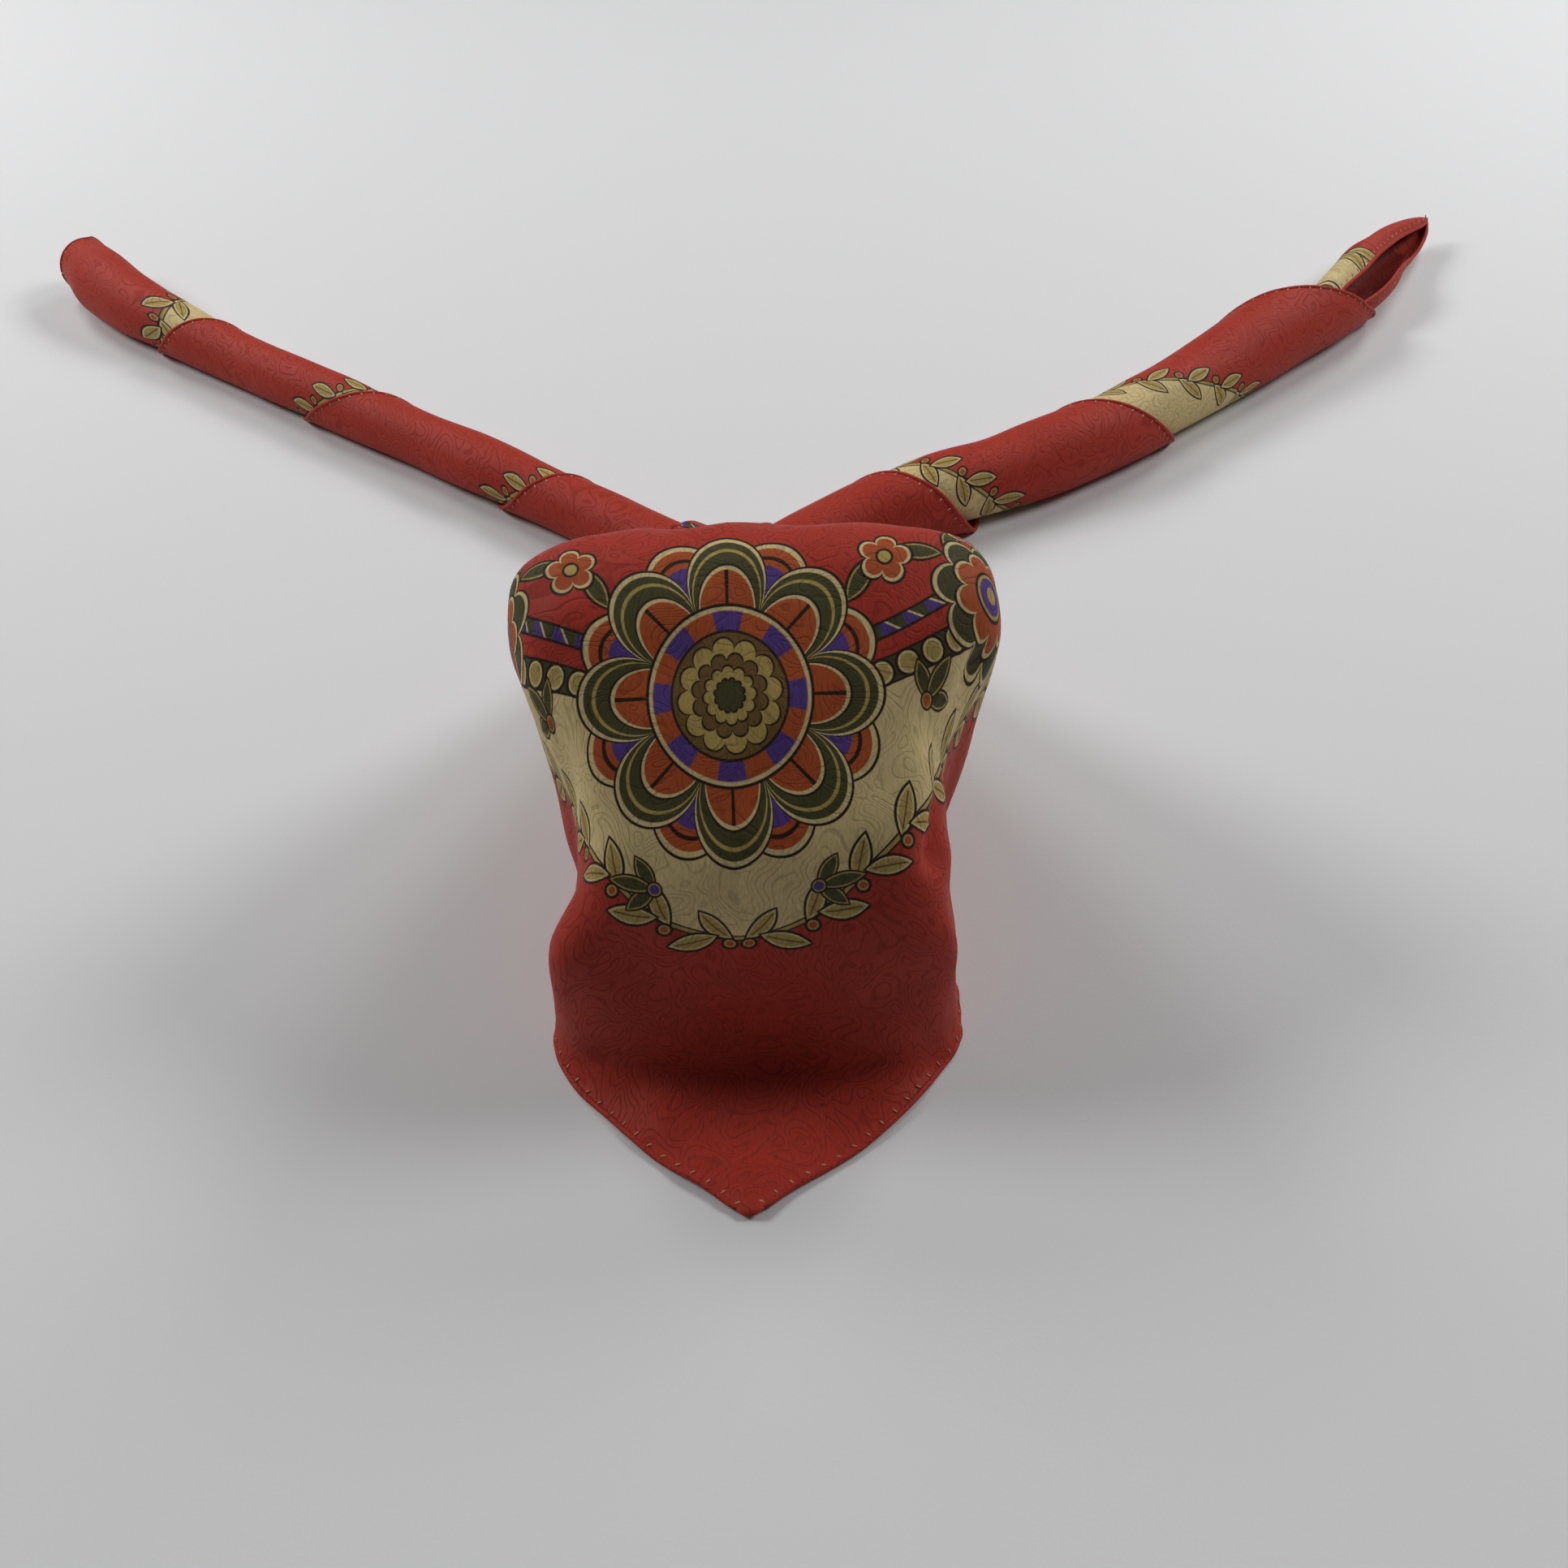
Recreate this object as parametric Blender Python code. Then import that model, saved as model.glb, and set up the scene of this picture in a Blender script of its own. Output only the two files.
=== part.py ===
"""A silk neckerchief, folded to a triangle and left standing in the shape it was worn in.

The triangle's point comes forward over a rounded crest and down to the table. Its two
side corners are rolled up into tails, so that each tail is wrapped in a band of cloth
whose hem winds round it. Metres, +Z up. The point of the triangle lies towards -Y and
the tails run out towards +Y. The origin is on the table under the middle of the roll.
"""

from collections import namedtuple
import math

import bmesh
import bpy
import numpy as np

# Cloth
WALL = 0.0012
SEAM_GAP = 0.0003
LAP_STEP = WALL + 0.0004

# Draped front: mesh density
FRONT_ROWS = 36
TOP_COLUMNS = 5
BEND_COLUMNS = 4
SIDE_COLUMNS = 6
HEM_WIDTH = 0.0024
HEM_RAISE = 0.0004

# How far the draped cloth's top falls from its middle to its shoulders, where it is high
CROWN = 0.0040
CROWN_FROM = 0.03
CROWN_FULL = 0.10

# Roll behind the neck, from its middle to where each tail's bands begin
ROLL_SQUASH = 0.93
LEFT_START = 0.0235
RIGHT_START = 0.0200
COVER_LEFT = 0.0205
COVER_RIGHT = 0.0170
COVER_GAP = 0.0013

# Tail bands: mesh density, and how far a band reaches in under the one before it
BAND_STEPS = 9
BAND_SIDES = 20
BAND_UNDERLAP = 0.16
SINK_END = 0.35
ROLL_RADIUS = 0.010
CORE_GAP = 0.0006
CORE_SIDES = 14
CORE_STEPS = 12

# Soft folds of the back slope
BACK_FOLD_DEPTH = 0.0022
BACK_FOLD_COUNT = 3.5

# One row for each line across the draped front, from the point to the roll: the middle
# line's y and z, how far the shoulders stand out to each side, how far behind the middle
# they lie, the radius they bend with, and where each side's edge comes down.
FrontRow = namedtuple(
    "FrontRow",
    "y z left right lag bend left_foot_x left_foot_y right_foot_x right_foot_y foot_z",
)
FRONT_TABLE = (
    FrontRow(-0.2290, WALL, 0.0006, 0.0008, 0.0000, 0.0002, -0.0012, -0.2288, 0.0020, -0.2288, WALL),
    FrontRow(-0.2220, WALL, 0.0050, 0.0055, 0.0000, 0.0010, -0.0090, -0.2220, 0.0094, -0.2224, WALL),
    FrontRow(-0.2120, 0.0016, 0.0120, 0.0135, 0.0000, 0.0040, -0.0222, -0.2120, 0.0252, -0.2124, WALL),
    FrontRow(-0.2020, 0.0028, 0.0190, 0.0220, 0.0000, 0.0060, -0.0328, -0.2012, 0.0370, -0.2020, WALL),
    FrontRow(-0.1948, 0.0066, 0.0265, 0.0300, 0.0010, 0.0080, -0.0400, -0.1915, 0.0450, -0.1925, WALL),
    FrontRow(-0.1926, 0.0160, 0.0340, 0.0390, 0.0020, 0.0100, -0.0458, -0.1800, 0.0508, -0.1840, 0.0010),
    FrontRow(-0.1922, 0.0300, 0.0418, 0.0464, 0.0040, 0.0110, -0.0468, -0.1695, 0.0530, -0.1745, 0.0004),
    FrontRow(-0.1916, 0.0450, 0.0443, 0.0484, 0.0040, 0.0110, -0.0452, -0.1610, 0.0524, -0.1645, 0.0),
    FrontRow(-0.1902, 0.0600, 0.0400, 0.0464, 0.0060, 0.0130, -0.0434, -0.1530, 0.0508, -0.1560, 0.0),
    FrontRow(-0.1856, 0.0730, 0.0348, 0.0456, 0.0060, 0.0135, -0.0428, -0.1460, 0.0496, -0.1480, 0.0),
    FrontRow(-0.1750, 0.0850, 0.0352, 0.0468, 0.0050, 0.0140, -0.0420, -0.1390, 0.0492, -0.1400, 0.0),
    FrontRow(-0.1680, 0.0920, 0.0388, 0.0464, 0.0045, 0.0148, -0.0420, -0.1350, 0.0484, -0.1358, 0.0),
    FrontRow(-0.1610, 0.0985, 0.0432, 0.0508, 0.0040, 0.0155, -0.0420, -0.1310, 0.0482, -0.1315, 0.0),
    FrontRow(-0.1465, 0.1102, 0.0502, 0.0626, 0.0030, 0.0190, -0.0424, -0.1225, 0.0486, -0.1225, 0.0),
    FrontRow(-0.1335, 0.1160, 0.0520, 0.0634, 0.0020, 0.0205, -0.0430, -0.1135, 0.0494, -0.1130, 0.0),
    FrontRow(-0.1205, 0.1138, 0.0502, 0.0608, 0.0000, 0.0205, -0.0434, -0.1030, 0.0500, -0.1025, 0.0),
    FrontRow(-0.1060, 0.1026, 0.0476, 0.0562, 0.0000, 0.0170, -0.0436, -0.0905, 0.0498, -0.0900, 0.0),
    FrontRow(-0.0900, 0.0868, 0.0464, 0.0536, 0.0000, 0.0160, -0.0430, -0.0770, 0.0490, -0.0765, 0.0),
    FrontRow(-0.0740, 0.0700, 0.0424, 0.0478, 0.0000, 0.0150, -0.0412, -0.0630, 0.0462, -0.0625, 0.0),
    FrontRow(-0.0580, 0.0535, 0.0376, 0.0412, 0.0000, 0.0130, -0.0384, -0.0490, 0.0420, -0.0485, 0.0),
    FrontRow(-0.0410, 0.0388, 0.0320, 0.0344, 0.0010, 0.0110, -0.0344, -0.0345, 0.0368, -0.0345, 0.0),
    FrontRow(-0.0240, 0.0286, 0.0270, 0.0274, 0.0030, 0.0080, -0.0298, -0.0195, 0.0300, -0.0200, 0.0),
)
CREST_ROW = 14
SLOPE_END_ROW = 21

# The largest soft folds of the draped cloth: the line that each runs along, its half
# width, and how far it stands out (or sinks in, where negative).
FoldRow = namedtuple("FoldRow", "x0 y0 z0 x1 y1 z1 width depth")
FOLD_TABLE = (
    FoldRow(0.0560, -0.1500, 0.0920, 0.0455, -0.1790, 0.0640, 0.0050, -0.0034),
    FoldRow(0.0480, -0.1720, 0.0560, 0.0505, -0.1640, 0.0200, 0.0070, 0.0022),
    FoldRow(-0.0420, -0.1640, 0.0860, -0.0380, -0.1820, 0.0600, 0.0060, -0.0016),
    FoldRow(-0.0430, -0.1840, 0.0420, -0.0470, -0.1760, 0.0100, 0.0080, 0.0020),
    FoldRow(0.0030, -0.1930, 0.0380, 0.0060, -0.1950, 0.0080, 0.0170, -0.0022),
    FoldRow(-0.0180, -0.2060, 0.0020, 0.0010, -0.2160, 0.0015, 0.0035, 0.0010),
)

# How the cloth's end lies over the roll: the angle round it, from its back over its top
COVER_ANGLES = (116.0, 94.0, 72.0, 50.0, 30.0)

# The roll's middle line from the left tail's end to the right tail's, with its radius
AxisRow = namedtuple("AxisRow", "x y radius")
ROLL_AXIS = (
    AxisRow(-0.2832, 0.2478, 0.0094),
    AxisRow(-0.2768, 0.2348, 0.0132),
    AxisRow(-0.2655, 0.2172, 0.0138),
    AxisRow(-0.2470, 0.1958, 0.0126),
    AxisRow(-0.2179, 0.1706, 0.0108),
    AxisRow(-0.1836, 0.1426, 0.0099),
    AxisRow(-0.1495, 0.1150, 0.0103),
    AxisRow(-0.1211, 0.0935, 0.0099),
    AxisRow(-0.0890, 0.0677, 0.0104),
    AxisRow(-0.0648, 0.0485, 0.0102),
    AxisRow(-0.0340, 0.0222, 0.0104),
    AxisRow(-0.0165, 0.0075, 0.0108),
    AxisRow(-0.0040, -0.0012, 0.0110),
    AxisRow(0.0100, 0.0046, 0.0112),
    AxisRow(0.0300, 0.0205, 0.0118),
    AxisRow(0.0550, 0.0352, 0.0126),
    AxisRow(0.0727, 0.0430, 0.0130),
    AxisRow(0.0901, 0.0511, 0.0128),
    AxisRow(0.1141, 0.0646, 0.0134),
    AxisRow(0.1434, 0.0865, 0.0130),
    AxisRow(0.1747, 0.1130, 0.0133),
    AxisRow(0.2046, 0.1400, 0.0145),
    AxisRow(0.2305, 0.1637, 0.0145),
    AxisRow(0.2425, 0.1758, 0.0139),
    AxisRow(0.2508, 0.1865, 0.0136),
    AxisRow(0.2590, 0.1975, 0.0118),
)
MIDDLE_ROW = 12

# Each row is one line round a tail, as distances along the tail from the roll's middle:
# where the line passes the bottom, the back, the front, and the bottom again. The first
# is where the bands begin, and the others are the passes of the winding hem.
PassRow = namedtuple("PassRow", "below back front below_again")
LEFT_PASSES = (
    PassRow(LEFT_START, LEFT_START, LEFT_START, LEFT_START),
    PassRow(0.0440, 0.0630, 0.0870, 0.1080),
    PassRow(0.1080, 0.1500, 0.1890, 0.2080),
    PassRow(0.2080, 0.2450, 0.2750, 0.2930),
    PassRow(0.3600, 0.3650, 0.3585, 0.3600),
)
RIGHT_PASSES = (
    PassRow(RIGHT_START, RIGHT_START, RIGHT_START, RIGHT_START),
    PassRow(0.0380, 0.0480, 0.0815, 0.0990),
    PassRow(0.0990, 0.1300, 0.1690, 0.1880),
    PassRow(0.1880, 0.2210, 0.2900, 0.3160),
)

# How far each band's hem stands off the roll, and towards which angle it gapes most
LipRow = namedtuple("LipRow", "gape angle")
LEFT_LIPS = (LipRow(0.0004, 180.0), LipRow(0.0002, 180.0), LipRow(0.0004, 200.0), LipRow(-0.0010, 90.0))
RIGHT_LIPS = (LipRow(0.0030, 205.0), LipRow(0.0012, 180.0), LipRow(0.0018, 120.0))

# Where the hidden layers inside each tail end
LEFT_CORE_END = 0.3500
RIGHT_CORE_END = 0.2560

# The right tail's last corner: a curl that opens upwards and to the right, and narrows
# to the scarf's corner. Its middle line, height and radius, and the angles between which
# the cloth runs round it underneath.
CurlRow = namedtuple("CurlRow", "x y z radius near_edge far_edge")
RIGHT_CURL = (
    CurlRow(0.2225, 0.1545, 0.0122, 0.0088, 92.0, 366.0),
    CurlRow(0.2330, 0.1645, 0.0122, 0.0094, 92.0, 368.0),
    CurlRow(0.2430, 0.1755, 0.0120, 0.0100, 90.0, 372.0),
    CurlRow(0.2510, 0.1865, 0.0116, 0.0103, 86.0, 374.0),
    CurlRow(0.2590, 0.1980, 0.0112, 0.0100, 84.0, 374.0),
    CurlRow(0.2680, 0.2100, 0.0104, 0.0093, 86.0, 370.0),
    CurlRow(0.2775, 0.2210, 0.0092, 0.0074, 94.0, 364.0),
    CurlRow(0.2868, 0.2312, 0.0086, 0.0022, 120.0, 336.0),
)
CURL_STEPS = 12
CURL_SIDES = 14

# Where the hidden layers in the curl's closed part begin and end, in rows of its table
CURL_CORE_START = 0.5
CURL_CORE_END = 3.0
CURL_CORE_STEPS = 4

# Cloth colours, linear
RED = (0.235, 0.036, 0.024, 1.0)
DEEP_RED = (0.150, 0.020, 0.015, 1.0)


def clear_scene():
    """Removes whatever the scene holds."""
    for thing in list(bpy.data.objects):
        bpy.data.objects.remove(thing, do_unlink=True)


def silk(name, colour):
    """A soft, slightly glossy silk finish."""
    material = bpy.data.materials.new(name)
    material.use_nodes = True
    shader = material.node_tree.nodes["Principled BSDF"]
    shader.inputs["Base Color"].default_value = colour
    shader.inputs["Roughness"].default_value = 0.5
    shader.inputs["Metallic"].default_value = 0.0
    return material


def smooth_row(table, place):
    """Reads a table of points at a place between its rows, on a smooth curve through them."""
    last = len(table) - 1
    place = min(max(place, 0.0), float(last))
    start = min(int(place), last - 1)
    part = place - start
    before = table[start - 1] if start > 0 else 2.0 * table[0] - table[1]
    after = table[start + 2] if start + 2 <= last else 2.0 * table[last] - table[last - 1]
    first, second = table[start], table[start + 1]
    return 0.5 * (
        2.0 * first
        + (second - before) * part
        + (2.0 * before - 5.0 * first + 4.0 * second - after) * part ** 2
        + (3.0 * first - before - 3.0 * second + after) * part ** 3
    )


def smooth_step(value, low, high):
    """Runs from 0 at low to 1 at high, level at both."""
    part = min(max((value - low) / (high - low), 0.0), 1.0)
    return part * part * (3.0 - 2.0 * part)


class Axis:
    """The roll's middle line, read by the distance along it from the roll's middle."""

    def __init__(self, rows, middle_row):
        self.table = np.array(rows, dtype=float)
        steps = np.hypot(np.diff(self.table[:, 0]), np.diff(self.table[:, 1]))
        self.lengths = np.concatenate(([0.0], np.cumsum(steps)))
        self.lengths -= self.lengths[middle_row]

    def at(self, distance):
        """The middle point, the level direction to the back, and the radius."""
        place = np.interp(distance, self.lengths, np.arange(len(self.lengths)))
        row = smooth_row(self.table, place)
        ahead = smooth_row(self.table, place + 0.3) - smooth_row(self.table, place - 0.3)
        along = ahead[:2] / np.hypot(ahead[0], ahead[1])
        return row[:2], np.array([-along[1], along[0]]), row[2]

    def point(self, distance, degrees, radius, floor):
        """A point at a radius and angle round the roll, kept at or above a floor height."""
        middle, back, full = self.at(distance)
        angle = math.radians(degrees)
        reach = radius * math.cos(angle)
        height = full * ROLL_SQUASH + radius * math.sin(angle)
        return np.array([middle[0] + back[0] * reach, middle[1] + back[1] * reach, max(height, floor)])


def add_object(name, mesh_builder, material):
    """Turns a filled bmesh into a named object with its own material."""
    bmesh.ops.recalc_face_normals(mesh_builder, faces=mesh_builder.faces)
    mesh = bpy.data.meshes.new(name)
    mesh_builder.to_mesh(mesh)
    mesh_builder.free()
    mesh.materials.append(material)
    mesh.shade_smooth()
    mesh.set_sharp_from_angle(angle=math.radians(50.0))
    thing = bpy.data.objects.new(name, mesh)
    bpy.context.scene.collection.objects.link(thing)
    return thing


def wall(name, outer, inner, material):
    """Closes two matching grids of points into one thin wall."""
    builder = bmesh.new()
    rows, columns = outer.shape[:2]
    sheets = [
        [[builder.verts.new(grid[i, j]) for j in range(columns)] for i in range(rows)]
        for grid in (outer, inner)
    ]
    for sheet in sheets:
        for i in range(rows - 1):
            for j in range(columns - 1):
                builder.faces.new((sheet[i][j], sheet[i][j + 1], sheet[i + 1][j + 1], sheet[i + 1][j]))
    top, under = sheets
    edge = [(0, j) for j in range(columns)]
    edge += [(i, columns - 1) for i in range(1, rows)]
    edge += [(rows - 1, j) for j in range(columns - 2, -1, -1)]
    edge += [(i, 0) for i in range(rows - 2, 0, -1)]
    for here, there in zip(edge, edge[1:] + edge[:1]):
        builder.faces.new((
            top[here[0]][here[1]], top[there[0]][there[1]],
            under[there[0]][there[1]], under[here[0]][here[1]],
        ))
    bmesh.ops.triangulate(builder, faces=builder.faces)
    return add_object(name, builder, material)


def capped_tube(name, rings, material):
    """Closes a row of rings of points into one solid with filled ends."""
    builder = bmesh.new()
    loops = [[builder.verts.new(point) for point in ring] for ring in rings]
    for ring, following in zip(loops, loops[1:]):
        for here in range(len(ring)):
            there = (here + 1) % len(ring)
            builder.faces.new((ring[here], ring[there], following[there], following[here]))
    builder.faces.new(loops[0])
    builder.faces.new(loops[-1])
    bmesh.ops.triangulate(builder, faces=builder.faces)
    return add_object(name, builder, material)


def grid_normals(grid):
    """Unit normals of a grid of points, pointing to the side of the first cross product."""
    along = np.gradient(grid, axis=0)
    across = np.gradient(grid, axis=1)
    normals = np.cross(across, along)
    return normals / np.linalg.norm(normals, axis=2, keepdims=True)


def bent_side(middle, shoulder, foot, bend):
    """Points from the middle line out to the shoulder, round its bend and down to the foot."""
    out = shoulder - middle
    down = foot - shoulder
    out_length = np.linalg.norm(out)
    down_length = np.linalg.norm(down)
    bend = min(bend, 0.8 * out_length, 0.6 * down_length)
    bend_start = shoulder - out * (bend / out_length)
    bend_end = shoulder + down * (bend / down_length)
    points = [middle + (bend_start - middle) * (k / TOP_COLUMNS) for k in range(TOP_COLUMNS)]
    for k in range(BEND_COLUMNS):
        part = k / BEND_COLUMNS
        points.append(
            bend_start * (1.0 - part) ** 2 + shoulder * 2.0 * part * (1.0 - part) + bend_end * part ** 2
        )
    for k in range(SIDE_COLUMNS + 1):
        points.append(bend_end + (foot - bend_end) * (k / SIDE_COLUMNS))
    return points


def draped_line(row):
    """One line of points across the draped front, from the left edge to the right edge."""
    middle = np.array([0.0, row.y, row.z])
    shoulder_z = row.z - CROWN * smooth_step(row.z, CROWN_FROM, CROWN_FULL)
    left = bent_side(
        middle,
        np.array([-row.left, row.y + row.lag, shoulder_z]),
        np.array([row.left_foot_x, row.left_foot_y, row.foot_z]),
        row.bend,
    )
    right = bent_side(
        middle,
        np.array([row.right, row.y + row.lag, shoulder_z]),
        np.array([row.right_foot_x, row.right_foot_y, row.foot_z]),
        row.bend,
    )
    return np.array(left[::-1] + right[1:])


def cover_line(axis, degrees, spacing):
    """One line of points along the roll, where the cloth's end lies over it."""
    points = []
    for part in spacing:
        distance = part * (COVER_LEFT if part < 0.0 else COVER_RIGHT)
        radius = axis.at(distance)[2] + COVER_GAP + WALL
        points.append(axis.point(distance, degrees, radius, WALL))
    return np.array(points)


def fold_heights(grid):
    """How far each point of a grid is moved out by the folds that run near it."""
    heights = np.zeros(grid.shape[:2])
    for fold in FOLD_TABLE:
        start = np.array([fold.x0, fold.y0, fold.z0])
        line = np.array([fold.x1, fold.y1, fold.z1]) - start
        part = np.clip((grid - start) @ line / (line @ line), 0.0, 1.0)
        nearest = start + part[..., None] * line
        away = np.linalg.norm(grid - nearest, axis=2)
        heights += fold.depth * np.exp(-(away / fold.width) ** 2)
    return heights


def front_grid(axis):
    """The outer points of the draped cloth, from its point to its end over the roll."""
    lines = [draped_line(row) for row in FRONT_TABLE]
    ends = lines[-1]
    steps = np.linalg.norm(np.diff(ends, axis=0), axis=1)
    spacing = np.concatenate(([0.0], np.cumsum(steps)))
    spacing = 2.0 * spacing / spacing[-1] - 1.0
    lines += [cover_line(axis, degrees, spacing) for degrees in COVER_ANGLES]
    table = np.array(lines)
    centre = table[:, table.shape[1] // 2]
    run = np.concatenate(([0.0], np.cumsum(np.linalg.norm(np.diff(centre, axis=0), axis=1))))
    places = np.interp(np.linspace(0.0, run[-1], FRONT_ROWS + 1), run, np.arange(len(run)))
    grid = np.array([smooth_row(table, place) for place in places])
    normals = grid_normals(grid)
    across = np.linspace(-1.0, 1.0, grid.shape[1])
    for i, place in enumerate(places):
        depth = BACK_FOLD_DEPTH * smooth_step(place, CREST_ROW, CREST_ROW + 3)
        depth *= 1.0 - smooth_step(place, SLOPE_END_ROW - 1, SLOPE_END_ROW + 1)
        waves = np.cos(across * BACK_FOLD_COUNT * 2.0 * math.pi)
        grid[i] -= normals[i] * (depth * (0.5 - 0.5 * waves))[:, None]
    grid = grid + normals * fold_heights(grid)[..., None]
    return grid, grid_normals(grid)


def narrow_hem(grid, column, inside):
    """Draws the line of points next to an edge in to the hem's width."""
    step = grid[:, inside] - grid[:, column]
    length = np.linalg.norm(step, axis=1, keepdims=True)
    grid[:, inside] = grid[:, column] + step * (np.minimum(HEM_WIDTH, 0.5 * length) / length)


def build_front(axis, material):
    """The draped cloth: a wall under its outer points, with its two edges turned to a hem."""
    outer, normals = front_grid(axis)
    inner = outer - normals * WALL
    hem = outer.shape[1] - 1
    for column, inside in ((0, 1), (hem, hem - 1)):
        outer[:, column] += normals[:, column] * HEM_RAISE
        narrow_hem(outer, column, inside)
        narrow_hem(inner, column, inside)
    outer[:, :, 2] = np.maximum(outer[:, :, 2], 0.0)
    inner[:, :, 2] = np.maximum(inner[:, :, 2], 0.0)
    return wall("front_panel", outer, inner, material)


def build_roll(axis, material):
    """The rolled middle of the fold, behind the neck, with a flat underside."""
    rings = []
    for distance in np.linspace(SEAM_GAP - LEFT_START, RIGHT_START - SEAM_GAP, CORE_STEPS + 1):
        radius = axis.at(distance)[2]
        rings.append([
            axis.point(distance, 360.0 * k / CORE_SIDES, radius, 0.0) for k in range(CORE_SIDES)
        ])
    return capped_tube("middle_roll", rings, material)


def pass_distance(row, degrees):
    """Where a line round the tail lies along it, at an angle from -90 to 270 degrees."""
    return float(np.interp(degrees, (-90.0, 0.0, 180.0, 270.0), row))


def build_band(name, axis, side, inside, outside, lip, first, material):
    """One stretch of the cloth that winds round a tail, under the one before it."""
    edge_angle = math.degrees(0.5 * SEAM_GAP / ROLL_RADIUS)
    start = 0.0 if first else -BAND_UNDERLAP
    outer = np.zeros((BAND_STEPS + 1, BAND_SIDES + 1, 3))
    inner = np.zeros_like(outer)
    for i, part in enumerate(np.linspace(start, 1.0, BAND_STEPS + 1)):
        sunk = LAP_STEP * (1.0 - smooth_step(part, 0.0, SINK_END))
        sunk = 0.0 if first else sunk
        gape = lip.gape * smooth_step(part, SINK_END, 1.0)
        for j, degrees in enumerate(np.linspace(-90.0 + edge_angle, 270.0 - edge_angle, BAND_SIDES + 1)):
            near = pass_distance(inside, degrees)
            far = pass_distance(outside, degrees)
            distance = side * (near + (far - near) * part)
            towards = 0.5 + 0.5 * math.cos(math.radians(degrees - lip.angle))
            radius = axis.at(distance)[2] - sunk + gape * towards
            outer[i, j] = axis.point(distance, degrees, radius, sunk)
            inner[i, j] = axis.point(distance, degrees, radius - WALL, sunk + WALL)
    return wall(name, outer, inner, material)


def build_core(name, axis, start, end, material):
    """The hidden layers inside a tail's bands, as one rounded solid."""
    rings = []
    depth = LAP_STEP + WALL + CORE_GAP
    for distance in np.linspace(start, end, CORE_STEPS + 1):
        radius = axis.at(distance)[2] - depth
        rings.append([
            axis.point(distance, 360.0 * k / CORE_SIDES, radius, depth) for k in range(CORE_SIDES)
        ])
    return capped_tube(name, rings, material)


def build_tail(name, axis, side, passes, lips, core_end, material, core_material):
    """A rolled tail: its bands from the roll outwards, and the core inside them."""
    for index, lip in enumerate(lips):
        inside, outside = passes[index], passes[index + 1]
        build_band(f"{name}_{index + 1}", axis, side, inside, outside, lip, index == 0, material)
    build_core(f"{name}_core", axis, side * passes[0].back, side * core_end, core_material)


def curl_right(table, place):
    """The level direction to the right of the curl's middle line."""
    ahead = smooth_row(table, place + 0.05) - smooth_row(table, place - 0.05)
    along = ahead[:2] / np.hypot(ahead[0], ahead[1])
    return np.array([along[1], -along[0]])


def build_curl(name, material):
    """The right tail's open corner, a curl that narrows to a point."""
    table = np.array(RIGHT_CURL, dtype=float)
    outer = np.zeros((CURL_STEPS + 1, CURL_SIDES + 1, 3))
    inner = np.zeros_like(outer)
    for i, place in enumerate(np.linspace(0.0, len(table) - 1.0, CURL_STEPS + 1)):
        row = CurlRow(*smooth_row(table, place))
        right = curl_right(table, place)
        for j, degrees in enumerate(np.linspace(row.near_edge, row.far_edge, CURL_SIDES + 1)):
            angle = math.radians(degrees)
            for grid, radius, floor in ((outer, row.radius, 0.0), (inner, row.radius - WALL, WALL)):
                reach = radius * math.cos(angle)
                height = max(row.z + radius * math.sin(angle), floor)
                grid[i, j] = (row.x + right[0] * reach, row.y + right[1] * reach, height)
    return wall(name, outer, inner, material)


def build_curl_core(name, material):
    """The hidden layers inside the closed part of the right tail's last corner."""
    table = np.array(RIGHT_CURL, dtype=float)
    rings = []
    for place in np.linspace(CURL_CORE_START, CURL_CORE_END, CURL_CORE_STEPS + 1):
        row = CurlRow(*smooth_row(table, place))
        right = curl_right(table, place)
        radius = row.radius - WALL - CORE_GAP
        ring = []
        for k in range(CORE_SIDES):
            angle = 2.0 * math.pi * k / CORE_SIDES
            reach = radius * math.cos(angle)
            height = max(row.z + radius * math.sin(angle), WALL + CORE_GAP)
            ring.append((row.x + right[0] * reach, row.y + right[1] * reach, height))
        rings.append(ring)
    return capped_tube(name, rings, material)


def main():
    """Builds every piece."""
    clear_scene()
    printed = silk("silk_print", RED)
    folded = silk("silk_inner", DEEP_RED)
    axis = Axis(ROLL_AXIS, MIDDLE_ROW)
    build_front(axis, printed)
    build_roll(axis, folded)
    build_tail("tail_left", axis, -1.0, LEFT_PASSES, LEFT_LIPS, LEFT_CORE_END, printed, folded)
    build_tail("tail_right", axis, 1.0, RIGHT_PASSES, RIGHT_LIPS, RIGHT_CORE_END, printed, folded)
    build_curl("tail_right_corner", printed)
    build_curl_core("tail_right_corner_core", folded)


main()
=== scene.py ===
"""A printed silk neckerchief, folded to a triangle and standing in the shape it was worn in.

The draped front, the roll behind the neck and the two wound tails are thin sheets of printed
silk jacquard, with rolled hems and their stitches. Metres, +Z up, the point towards -Y.
"""

from __future__ import annotations

from dataclasses import dataclass
from enum import Enum
import logging
import math
from typing import NamedTuple, Optional, Sequence, Union

import bmesh
import bpy
from mathutils import Matrix, Vector
import numpy as np

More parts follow.
